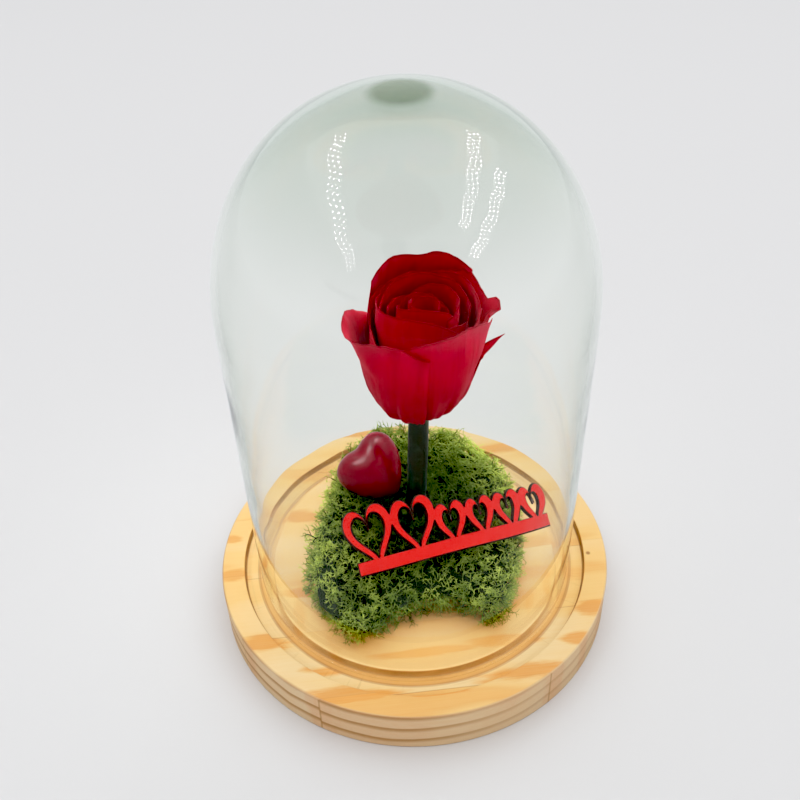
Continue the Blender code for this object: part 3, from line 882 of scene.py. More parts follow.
@dataclass
class GlassDome:
    """Blown glass bell with a rounded foot and a thick spot at its top."""

    foot_radius: float = 67.8 * MM
    shoulder_radius: float = 69.0 * MM
    wall: float = 2.6 * MM
    foot_height: float = 18.0 * MM
    shoulder_height: float = 153.6 * MM
    cap_height: float = 77.7 * MM
    cap_power: float = 2.1
    crown: float = 3.4 * MM
    lens_radius: float = 13.0 * MM
    lens_depth: float = 0.7 * MM
    waviness: float = 0.16 * MM
    segments: int = 176
    wall_steps: int = 26
    cap_steps: int = 34

    def cap(self, radius: float, height: float) -> Outline:
        """Rounded cap from the shoulder to the axis, as (radius, rise) pairs.

        Args:
            radius: Radius at the shoulder.
            height: Height of the cap.

        Returns:
            The pairs.
        """
        power = 2.0 / self.cap_power
        turns = [math.pi / 2 * step / self.cap_steps for step in range(self.cap_steps)]
        return [(radius * math.cos(turn) ** power, height * math.sin(turn) ** power)
                for turn in turns] + [(0.0, height)]

    def side(self, inset: float) -> Outline:
        """Wall from the foot up to the shoulder, without its ends.

        Args:
            inset: How far inside the outer wall the line runs.

        Returns:
            The wall's points.
        """
        low = self.foot_height + self.wall / 2
        outline = []
        for step in range(1, self.wall_steps):
            share = step / self.wall_steps
            radius = self.foot_radius + (self.shoulder_radius - self.foot_radius) * share - inset
            outline.append((radius, low + (self.shoulder_height - low) * share))
        return outline

    def profile(self) -> tuple[Outline, int]:
        """Closed outline of the glass, and the number of its points that are on the outside.

        Returns:
            The points, those of the outside first, and how many those are.
        """
        foot = (self.foot_radius - self.wall / 2, self.foot_height + self.wall / 2)
        outside = arc(foot, self.wall / 2, -90, 0, 4) + self.side(0.0)
        outside += [(radius, self.shoulder_height + rise)
                    for radius, rise in self.cap(self.shoulder_radius, self.cap_height)]
        inside = arc(foot, self.wall / 2, 247.5, 180, 3) + self.side(self.wall)
        inside += [(radius, self.shoulder_height + rise
                    - self.lens_depth * math.exp(-(radius / self.lens_radius) ** 2))
                   for radius, rise in self.cap(self.shoulder_radius - self.wall,
                                                self.cap_height - self.crown)]
        return outside + inside[::-1], len(outside)

    def build(self) -> bpy.types.Object:
        """Make the glass with its slight waviness, dress it and let light through to the flower.

        Returns:
            The dome.
        """
        outline, outside = self.profile()
        mesh = turned_mesh("clear_dome", outline, self.segments)
        points = np.array([vertex.co for vertex in mesh.vertices])
        for index, point in enumerate(points):
            flow = self.waviness if index >= outside * self.segments else 0.35 * self.waviness
            place = Vector((point[0] * 30, point[1] * 30, point[2] * 55))
            points[index, :2] *= 1 + flow * noise.noise(place) / self.foot_radius
        mesh.vertices.foreach_set("co", points.astype(np.float32).ravel())
        clean_mesh(mesh, 60.0)
        mesh.materials.append(GlassFinish().material())
        dome = add_piece("clear_dome", mesh, Slot.GLASS, "glass_dome")
        dome.visible_shadow = False
        return dome


@dataclass(frozen=True)
class Cone:
    """Cone at the stem's end that carries the petals, hidden in the flower."""

    foot_radius: float = 3.6 * MM
    tip_radius: float = 1.0 * MM
    height: float = 24.0 * MM

    def radius(self, height: float) -> float:
        """Radius at a height above the cone's foot."""
        return self.foot_radius + (self.tip_radius - self.foot_radius) * height / self.height


@dataclass
class Stem:
    """Stem with a slightly uneven girth that ends in the cone under the petals."""

    radius: float = 4.5 * MM
    foot: Vector = Vector((0.1 * MM, 0.0, BASE_TOP + 0.6 * MM))
    cone: Cone = Cone()
    sides: int = 36
    steps: int = 70
    cone_share: float = 0.2

    def build(self, head: Matrix) -> None:
        """Make the stem up to the flower's base, and the cone within the flower.

        Args:
            head: The flower's own frame.
        """
        top = head.translation
        tip = head @ Vector((0, 0, self.cone.height))
        neck = 1 - self.cone_share
        rings = []
        for step in range(self.steps + 1):
            share = step / self.steps
            if share <= neck:
                centre = self.foot.lerp(top, share / neck)
                girth = self.radius
            else:
                part = (share - neck) / self.cone_share
                centre = top.lerp(tip, part)
                girth = self.cone.radius(part * self.cone.height)
            ring = []
            for side in range(self.sides):
                turn = 2 * math.pi * side / self.sides
                lump = noise_round(turn, 1.6, share * 7)
                flat = 1 - 0.05 * math.cos(4 * turn + 0.5)
                reach = girth * min(1.0, 0.95 * flat + 0.05 * lump)
                ring.append(centre + Vector((reach * math.cos(turn), reach * math.sin(turn), 0)))
            rings.append(ring)
        points = np.array([[tuple(point) for point in ring] for ring in rings]).reshape(-1, 3)
        faces = lattice(len(rings), self.sides, False, True)
        mesh = mesh_from_arrays("taped_stem", points, faces)
        shape = bmesh.new()
        shape.from_mesh(mesh)
        bmesh.ops.holes_fill(shape, edges=shape.edges)
        clean_mesh(store(shape, mesh), 50.0)
        mesh.materials.append(StemFinish().material())
        add_piece("taped_stem", mesh, Slot.STEM, "stem")


@dataclass(frozen=True)
class Petal:
    """One petal: its place in the cup, and its rim's height and outward flare in millimetres.

    Rim and flare are given at five even stations from one side of the petal to the other.
    """

    layer: float
    azimuth: float
    half_width: float
    rim: Sequence[float]
    flare: Sequence[float] = (0.0,) * 5
    spiral: float = 0.0
    flare_start: float = 2.0
    foot_width: float = 0.42
    nicks: float = 1.0
    lobe: tuple[float, float, float] = (0.0, 1.0, 0.0)
    point: tuple[float, float, float] = (0.0, 1.0, 0.0)
    tuck: tuple[float, float, float] = (0.0, 1.0, 0.0)

    def rim_height(self, across: float) -> float:
        """Height of the rim at a place across the petal, with its one drawn-out point."""
        place, width, rise = self.point
        return between_stations(self.rim, across) + rise * math.exp(-abs(across - place) / width)

    def curl(self, across: float) -> float:
        """Outward flare of the rim, with its one small lobe."""
        place, width, reach = self.lobe
        return between_stations(self.flare, across) + reach * math.exp(-((across - place) / width) ** 4)

    def pulled_in(self, across: float, along: float) -> float:
        """How far the petal's side is drawn in below its flare."""
        place, width, depth = self.tuck
        return depth * math.exp(-((across - place) / width) ** 2 - ((along - 0.4) / 0.17) ** 2)


def between_stations(values: Sequence[float], across: float) -> float:
    """Smooth value at a place across a petal, -1 to 1, from values at even stations.

    Args:
        values: Values at the stations.
        across: Place across the petal.

    Returns:
        The value there.
    """
    place = (across + 1) / 2 * (len(values) - 1)
    index = min(int(place), len(values) - 2)
    t = place - index
    before, first = values[max(index - 1, 0)], values[index]
    second, after = values[index + 1], values[min(index + 2, len(values) - 1)]
    return 0.5 * (2 * first + (second - before) * t + (2 * before - 5 * first + 4 * second - after) * t ** 2
                  + (3 * first - before - 3 * second + after) * t ** 3)


def sheet_mesh(name: str, middle: np.ndarray,
               thickness: np.ndarray) -> tuple[bpy.types.Mesh, np.ndarray]:
    """Closed thin sheet with a rounded edge round a grid of points.

    Args:
        name: The mesh's name.
        middle: The sheet's middle surface, as rows of points.
        thickness: Its thickness at each point.

    Returns:
        The mesh, and for each of its points the number of the grid point that it lies at.
    """
    rows, columns = middle.shape[:2]
    normal = np.cross(np.gradient(middle, axis=1), np.gradient(middle, axis=0))
    normal /= np.linalg.norm(normal, axis=2, keepdims=True) + 1e-12
    half = normal * thickness[..., None] / 2
    ring = [(0, column) for column in range(columns)]
    ring += [(row, columns - 1) for row in range(1, rows)]
    ring += [(rows - 1, column) for column in range(columns - 2, -1, -1)]
    ring += [(row, 0) for row in range(rows - 2, 0, -1)]
    row, column = np.array(ring).T
    inner = middle[np.clip(row, 1, rows - 2), np.clip(column, 1, columns - 2)]
    outward = middle[row, column] - inner
    outward /= np.linalg.norm(outward, axis=1, keepdims=True)
    edge = middle[row, column] + outward * thickness[row, column][:, None] * 0.45
    count = rows * columns
    quads = lattice(rows, columns, False, False)
    flat = row * columns + column
    follow = np.roll(flat, -1)
    loop = np.arange(len(flat)) + 2 * count
    next_loop = np.roll(loop, -1)
    strips = [np.stack([flat, follow, next_loop, loop], axis=1),
              np.stack([loop, next_loop, follow + count, flat + count], axis=1)]
    faces = np.concatenate([quads[:, ::-1], quads + count] + strips)
    points = np.concatenate([(middle + half).reshape(-1, 3), (middle - half).reshape(-1, 3), edge])
    source = np.concatenate([np.arange(count), np.arange(count), flat])
    return mesh_from_arrays(name, points, faces), source


@dataclass
class Rose:
    """Flower of thin petals on nested cups: a spiral bud inside, then the open outer petals.

    Heights in inner_tops and in the outer petals are in millimetres above the flower's base.
    """

    base: Vector = Vector((3.8, -1.0, 103.5)) * MM
    lean_right: float = math.radians(3.0)
    lean_forward: float = math.radians(12.0)
    top: float = 61.0 * MM
    bud_radius: float = 3.2 * MM
    cup_radius: float = 23.6 * MM
    cup_power: float = 1.9
    cup_closing: float = 0.13
    cup_widest: float = 0.56
    cone: Cone = Cone()
    foot_gap: float = 0.7 * MM
    foot_step: float = 0.6 * MM
    droop: float = 0.25
    full_width_at: float = 0.6
    thickness: float = 0.42 * MM
    rows: int = 42
    columns: int = 44
    inner_tops: Sequence[float] = (56, 58.5, 60, 55, 57, 61, 60.5, 55, 54.5, 62, 60)
    golden_turn: float = 137.5
    bud_widening: float = 0.25
    bud_flattening: float = 0.33
    spiral_share: float = 0.5
    inner_rim: Sequence[float] = (0.93, 0.985, 1.0, 0.965, 0.82)
    last_inner_flare: Sequence[float] = (1.6, 0.6, 0, 0, 0)
    lip_start: float = 0.86
    edge_thinning: float = 0.35
    outer: Sequence[dict[str, Any]] = (
        {"layer": 11, "azimuth": 118, "half_width": 60, "rim": (57, 60, 61, 58, 47)},
        {"layer": 12, "azimuth": 38, "half_width": 60, "rim": (55, 61, 62, 61, 57),
         "flare": (0.9, 0.4, 0.5, 0.3, 0)},
        {"layer": 13, "azimuth": -74, "half_width": 66, "rim": (44, 49, 52.5, 56.5, 60),
         "flare": (0, 0, 0, 0.6, 1.2)},
        {"layer": 14, "azimuth": 172, "half_width": 56, "rim": (50, 56, 54, 51, 47),
         "flare": (0.6, 0.8, 1, 0.8, 0.4)},
        {"layer": 15, "azimuth": 13, "half_width": 60, "rim": (50, 54, 54, 61, 57),
         "flare": (0, 1.8, 3.2, 3.6, 0.6), "lobe": (0.0, 0.1, 4.8), "tuck": (-0.3, 0.6, 2.0),
         "nicks": 3.0},
        {"layer": 16, "azimuth": -64, "half_width": 58, "rim": (54, 60, 63.5, 63, 55.5),
         "flare": (0, 0.6, 1.9, 2.9, 3.4), "flare_start": 1.7, "tuck": (0.9, 0.45, 2.0),
         "foot_width": 0.85},
        {"layer": 17, "azimuth": 98, "half_width": 58, "rim": (62.5, 64.8, 62, 65, 61.5),
         "flare": (1.5, 2.0, 1.5, 2.0, 1)},
        {"layer": 17, "azimuth": -8, "half_width": 3.6, "rim": (37, 43, 50.5, 42, 36),
         "flare": (-3.2, -0.4, 6.6, -0.4, -3.2), "flare_start": 1.3, "tuck": (0, 3, 2.4)},
        {"layer": 18, "azimuth": -159, "half_width": 72, "rim": (32, 47, 53, 59, 53.5),
         "flare": (1.8, 5, 6.2, 2.6, 0.6), "flare_start": 1.35, "point": (-0.26, 0.16, 4.5),
         "tuck": (-0.3, 0.5, 1.0), "foot_width": 1.05, "spiral": -0.10},
    )

    def matrix(self) -> Matrix:
        """The flower's own frame: its origin at the flower's base, +Z along the flower."""
        lean = Matrix.Rotation(self.lean_right, 4, "Y") @ Matrix.Rotation(self.lean_forward, 4, "X")
        return Matrix.Translation(self.base) @ lean

    def plan(self) -> list[Petal]:
        """Petals from the innermost to the outermost.

        Returns:
            The petals.
        """
        step = 1.0 / self.outer[-1]["layer"]
        petals = []
        for index, top in enumerate(self.inner_tops):
            half_width = max(96.0, 150.0 - 18.0 * index)
            spiral = self.spiral_share * step * half_width / self.golden_turn
            flare = self.last_inner_flare if index == len(self.inner_tops) - 1 else (0,) * 5
            petals.append(Petal(index * step, index * self.golden_turn - 60, half_width,
                                [share * top for share in self.inner_rim], flare, spiral))
        return petals + [Petal(**{**outline, "layer": outline["layer"] * step}) for outline in self.outer]

    def point(self, petal: Petal, across: float, along: float, seed: float) -> Vector:
        """Point of a petal's middle surface in the flower's frame.

        Args:
            petal: The petal.
            across: Place from side to side, -1 to 1.
            along: Place from the foot, 0, to the rim, 1.
            seed: Number that sets this petal's own small waves.

        Returns:
            The point.
        """
        start = self.cone.height * (1 - petal.layer)
        foot = self.cone.radius(start) + self.foot_gap + self.foot_step * petal.layer
        layer = petal.layer + petal.spiral * across
        radius = self.bud_radius + (self.cup_radius - self.bud_radius) * layer
        widest = start + self.cup_widest * (self.top - start)
        opened = math.sin(math.pi / 2 * min(1.0, along / self.full_width_at))
        taper = petal.foot_width + (1 - petal.foot_width) * opened
        turn = math.radians(petal.azimuth + across * petal.half_width * taper)
        wave = noise_round(turn, 2.2, seed)
        nick = noise_round(turn, 13, seed + 7)
        curl = petal.curl(across)
        rim = (petal.rim_height(across) + 0.5 * wave + (0.25 + 0.16 * abs(curl)) * nick * petal.nicks) * MM
        power = 2.0 / self.cup_power
        first = math.asin(min(1.0, foot / radius) ** (1 / power))
        if along <= 0.5:
            angle = first + (math.pi / 2 - first) * along * 2
            reach = radius * math.sin(angle) ** power
            height = widest - (widest - start) * max(0.0, math.cos(angle)) ** power
        else:
            height = widest + (rim - widest) * (along - 0.5) * 2
            reach = radius * (1 - self.cup_closing * ((height - widest) / (self.top - widest)) ** 2)
        spread = curl * MM * max(0.0, (along - 0.5) / 0.5) ** petal.flare_start
        reach += spread - petal.pulled_in(across, along) * MM
        height -= self.droop * spread
        lip = max(0.0, (along - self.lip_start) / (1 - self.lip_start))
        roll = (0.25 + 0.85 * petal.layer) * MM * lip * lip * (0.6 + 0.8 * wave)
        fold = noise_round(turn, 7, height / (45 * MM) + seed)
        lobed = (abs(fold) * 4.6 - 1.1) * MM * petal.layer ** 4 * math.exp(-((along - 0.27) / 0.18) ** 2)
        lobed *= 1 - across ** 4
        ripple = noise_round(turn, 3.5, height / (13 * MM))
        crease = noise_round(turn, 9, height / (9 * MM) + seed)
        reach += roll + lobed + (0.5 * ripple + 0.2 * crease) * MM * along * min(1.0, 0.2 + petal.layer)
        height -= 0.35 * roll * lip
        inner = min(1.0, max(0.0, (0.8 - layer) / 0.24)) * min(1.0, max(0.0, along - 0.3) / 0.5)
        wide = 1 + self.bud_widening * inner
        flat = 1 - self.bud_flattening * inner * max(0.0, -math.sin(turn))
        return Vector((reach * wide * math.cos(turn), reach * flat * math.sin(turn), height))

    def build(self) -> None:
        """Make each petal, dress it and let it stand for its own node."""
        head = self.matrix()
        velvet = PetalFinish().material()
        for number, petal in enumerate(self.plan(), start=1):
            along = 1 - (1 - np.linspace(0, 1, self.rows)) ** 1.25
            across = np.linspace(-1, 1, self.columns)
            middle = np.array([[head @ self.point(petal, place, share, number * 3.7) for place in across]
                               for share in along])
            thin = 1 - self.edge_thinning * np.clip((along - 0.6) / 0.4, 0, 1)
            thickness = np.repeat((self.thickness * thin)[:, None], self.columns, axis=1)
            mesh, source = sheet_mesh(f"velvet_petal_{number:02d}", middle, thickness)
            set_attribute(mesh, "reach", along[source // self.columns])
            set_attribute(mesh, "across", across[source % self.columns] + number * 2.3)
            set_attribute(mesh, "layer", np.full(len(source), petal.layer))
            clean_mesh(mesh, 70.0)
            mesh.materials.append(velvet)
            add_piece(f"velvet_petal_{number:02d}", mesh, Slot.PETAL, f"petal_{number:02d}")


@dataclass
class PuffedHeart:
    """Moulded heart with two round lobes, lying on the moss."""

    centre: Vector = Vector((-15.8, 9.0, 62.0)) * MM
    width: float = 29.5 * MM
    depth: float = 21.0 * MM
    turn: float = math.radians(42.0)
    face_rise: float = math.radians(42.0)
    body_height: float = 0.86
    lobe_rise: float = 0.62
    lobe_fall: float = 0.34
    cleft_rounding: float = 0.12
    cleft_drop: float = 0.14
    tip_narrowing: float = 0.04
    tip_thinning: float = 0.16

    def matrix(self) -> Matrix:
        """Frame of the heart: X across it, Y up it and Z out of its face.

        Returns:
            The frame.
        """
        face = Vector((0, -math.cos(self.face_rise), math.sin(self.face_rise)))
        up = Vector((0, math.sin(self.face_rise), math.cos(self.face_rise)))
        spin = Matrix.Rotation(self.turn, 4, "Z")
        facing = Matrix((up.cross(face), up, face)).transposed().to_4x4()
        return Matrix.Translation(self.centre) @ facing @ spin

    def build(self) -> bpy.types.Object:
        """Draw a fine ball out into the heart and dress it.

        Returns:
            The heart.
        """
        shape = bmesh.new()
        bmesh.ops.create_uvsphere(shape, u_segments=96, v_segments=64, radius=1.0)
        place = self.matrix()
        for vertex in shape.verts:
            x, depth, y = vertex.co
            lobe = self.lobe_rise * math.hypot(x, self.cleft_rounding) * (1 - self.lobe_fall * abs(x))
            narrow = 1 - self.tip_narrowing * (1 - y) * abs(x)
            thin = 1 - self.tip_thinning * (1 - y)
            vertex.co = place @ Vector((x * narrow * self.width / 2,
                                        (self.body_height * y + lobe - self.cleft_drop) * self.width / 2,
                                        depth * thin * self.depth / 2))
        mesh = clean_mesh(store(shape, bpy.data.meshes.new("gloss_heart")), 80.0)
        mesh.materials.append(HeartFinish().material())
        return add_piece("gloss_heart", mesh, Slot.HEART, "glossy_heart")


@dataclass
class Ornament:
    """Thin board cut out in one piece: a row of open hearts on a sloping bar.

    Each heart is (place along the bar, width, height, tilt), in millimetres and degrees.
    """

    left: Vector = Vector((-21.4, -33.9, 43.7)) * MM
    right: Vector = Vector((57.2, -15.9, 51.9)) * MM
    lean: float = math.radians(52.0)
    thickness: float = 3.0 * MM
    stroke: float = 3.5 * MM
    bar: float = 5.5 * MM
    burnt_rim: float = 0.42 * MM
    hearts: Sequence[tuple[float, float, float, float]] = (
        (9.6, 20.5, 27.0, 6.0), (26.6, 18.6, 26.0, 0.0), (41.6, 13.6, 20.0, 0.0),
        (54.1, 12.4, 19.0, 0.0), (65.8, 12.0, 18.5, 0.0), (76.6, 11.4, 17.8, 0.0))
    curve: Sequence[int] = (13, -5, -2, -1)
    cleft_strength: float = 0.5

    def matrix(self) -> Matrix:
        """Frame of the ornament: X along its lower edge, Y up its face and Z out of it.

        Returns:
            The frame.
        """
        along = (self.right - self.left).normalized()
        rise = Vector((0, math.sin(self.lean), math.cos(self.lean)))
        face = along.cross(rise).normalized()
        rotation = Matrix((along, face.cross(along), face)).transposed().to_4x4()
        return Matrix.Translation(self.left) @ rotation

    def length(self) -> float:
        """Length of the lower edge."""
        return (self.right - self.left).length

    def outline(self, heart: Sequence[float], inset: float, count: int) -> list[Vector]:
        """Open heart's outline as 2D points, pulled in by a distance for its inner edge.

        Args:
            heart: The heart's place, width, height and tilt.
            inset: How far the outline is pulled in.
            count: Number of points.

        Returns:
            The points.
        """
        centre, width, height, tilt = heart
        spin = Matrix.Rotation(math.radians(tilt), 2)
        points = []
        for step in range(count):
            turn = -2 * math.pi * step / count
            rise = sum(share * math.cos(part * turn) for part, share in enumerate(self.curve, start=1))
            cleft = self.cleft_strength * inset * ((1 + math.cos(turn)) / 2) ** 12
            local = Vector((math.sin(turn) ** 3 * (width * MM - 2 * inset) / 2,
                            (rise + 17) / 29 * (height * MM - 2.3 * inset) + 1.35 * inset - cleft))
            points.append(spin @ local + Vector((centre * MM, 0.4 * MM)))
        return points

    def front(self) -> tuple[list[Vector], list[list[int]]]:
        """Corners and triangles of the ornament's flat front.

        Returns:
            The corners, and the triangles' corner numbers.
        """
        length = self.length()
        bar = [(0, 0), (length, 0), (length, self.bar), (0, self.bar)]
        outlines = [[Vector(corner) for corner in bar]]
        openings = {}
        for heart in self.hearts:
            outlines.append(self.outline(heart, 0.0, 96))
            openings[len(outlines) - 1] = len(outlines)
            outlines.append(self.outline(heart, self.stroke, 80))
        points = [point for outline in outlines for point in outline]
        loops = []
        for outline in outlines:
            first = sum(len(loop) for loop in loops)
            loops.append(list(range(first, first + len(outline))))
        corners, _, faces, _, _, sources = delaunay_2d_cdt(points, [], loops, 1, 1e-7)
        solid = [face for face, inside in zip(faces, sources)
                 if 0 in inside or any(outer in inside and opening not in inside
                                       for outer, opening in openings.items())]
        return corners, solid

    def build(self) -> None:
        """Cut the board out, with painted faces and burnt edges."""
        corners, solid = self.front()
        shape = bmesh.new()
        used = sorted({index for face in solid for index in face})
        verts = {index: shape.verts.new((*corners[index], -self.thickness)) for index in used}
        back = [shape.faces.new([verts[index] for index in face]) for face in solid]
        raised = bmesh.ops.extrude_face_region(shape, geom=back)["geom"]
        moved = [item for item in raised if isinstance(item, bmesh.types.BMVert)]
        bmesh.ops.translate(shape, verts=moved, vec=(0, 0, self.thickness))
        bmesh.ops.recalc_face_normals(shape, faces=shape.faces)
        shape.normal_update()
        moves = []
        for vertex in shape.verts:
            walls = [face.normal for face in vertex.link_faces if abs(face.normal.z) < 0.5]
            outward = sum(walls, Vector()).normalized() if walls else Vector()
            in_front = vertex.co.z > -self.thickness / 2
            moves.append(outward * (-self.burnt_rim if in_front else self.burnt_rim))
        for vertex, move in zip(shape.verts, moves):
            vertex.co += move
        shape.normal_update()
        for face in shape.faces:
            face.material_index = 0 if face.normal.z > 0.9 else 1
        shape.transform(self.matrix())
        mesh = shade(store(shape, bpy.data.meshes.new("cut_ornament")), 35.0)
        mesh.materials.append(PaintFinish().material())
        mesh.materials.append(CharFinish().material())
        add_piece("cut_ornament", mesh, Slot.ORNAMENT, "cutout_ornament")


def tube_faces(first: int, joints: int, pointed: bool) -> list[tuple[int, int, int]]:
    """Triangles of a three-sided tube.

    Args:
        first: Number of the tube's first point.
        joints: Number of its lengths from ring to ring.
        pointed: Whether one more point closes its end.

    Returns:
        The triangles' point numbers.
    """
    faces = []
    for joint in range(joints):
        low = first + 3 * joint
        for corner in range(3):
            follow = (corner + 1) % 3
            faces.append((low + corner, low + follow, low + 3 + follow))
            faces.append((low + corner, low + 3 + follow, low + 3 + corner))
    if pointed:
        top = first + 3 * joints
        faces.extend((top + corner, top + (corner + 1) % 3, top + 3) for corner in range(3))
    return faces


def add_tube(path: np.ndarray, girths: np.ndarray, points: list, faces: list) -> None:
    """Add a three-sided tube along a path, pointed at its end, to points and triangles so far.

    Args:
        path: Points that the tube follows.
        girths: Its radius at each of them.
        points: Points so far, added to.
        faces: Triangles so far, added to.
    """
    first = len(points)
    heading = path[-1] - path[0]
    side = np.cross(heading, (0.31, 0.17, 0.94))
    side /= np.linalg.norm(side) + 1e-12
    other = np.cross(heading / (np.linalg.norm(heading) + 1e-12), side)
    for place, girth in zip(path, girths):
        points.extend(place + girth * (side * math.cos(turn) + other * math.sin(turn))
                      for turn in TUBE_CORNERS)
    points.append(path[-1] + heading / (np.linalg.norm(heading) + 1e-12) * girths[-1])
    faces.extend(tube_faces(first, len(path) - 1, True))


@dataclass
class Sprig:
    """Forking branch of moss, grown as curled three-sided tubes."""

    seed: int
    lengths: Sequence[float] = (2.6, 2.5, 2.3, 1.9, 1.4)
    girth: float = 0.30 * MM
    joints: Sequence[int] = (3, 3, 3, 3, 2)
    curling: float = 0.32

    def grow(self) -> tuple[np.ndarray, np.ndarray, np.ndarray]:
        """Points, triangles and each point's reach from root, 0, to tip, 1.

        Returns:
            The points, the triangles and the reach.
        """
        draw = np.random.RandomState(self.seed)
        points: list[np.ndarray] = []
        faces: list[tuple[int, int, int]] = []
        reach: list[float] = []
        self._branch(draw, np.zeros(3), np.array([0.0, 0.0, 1.0]), 0, points, faces, reach)
        return np.array(points), np.array(faces), np.array(reach)

    def _branch(self, draw: np.random.RandomState, root: np.ndarray, heading: np.ndarray, level: int,
                points: list, faces: list, reach: list) -> None:
        """Add one curled tube and the branches that fork from its end.

        Args:
            draw: Source of random numbers.
            root: Where the branch starts.
            heading: Its direction, of length 1.
            level: How many forks it is from the sprig's root.
            points: Points so far, added to.
            faces: Triangles so far, added to.
            reach: The points' reach so far, added to.
        """
        levels, joints = len(self.lengths), self.joints[level]
        step = self.lengths[level] * MM * draw.uniform(0.6, 1.2) / joints
        side = np.cross(heading, draw.normal(size=3))
        side /= np.linalg.norm(side)
        bend = np.cross(heading, side) * self.curling * draw.uniform(0.3, 1.4)
        first = len(points)
        place = root
        for joint in range(joints + 1):
            share = (level + joint / joints) / levels
            other = np.cross(heading, side)
            for turn in TUBE_CORNERS:
                rim = side * math.cos(turn) + other * math.sin(turn)
                points.append(place + rim * self.girth * (1 - 0.55 * share))
                reach.append(share)
            place = place + heading * step
            heading = heading + bend
            heading /= np.linalg.norm(heading)
        place = place - heading * step
        last = level == levels - 1
        faces.extend(tube_faces(first, joints, last))
        if last:
            points.append(place + heading * self.girth)
            reach.append(1.0)
            return
        forks = 2 if draw.uniform() < 0.75 else 3
        spin = draw.uniform(0, 2 * math.pi)
        other = np.cross(heading, side)
        for fork in range(forks):
            turn = spin + 2 * math.pi * fork / forks
            lean = draw.uniform(0.5, 1.15)
            branch = heading + lean * (side * math.cos(turn) + other * math.sin(turn))
            self._branch(draw, place, branch / np.linalg.norm(branch), level + 1, points, faces, reach)


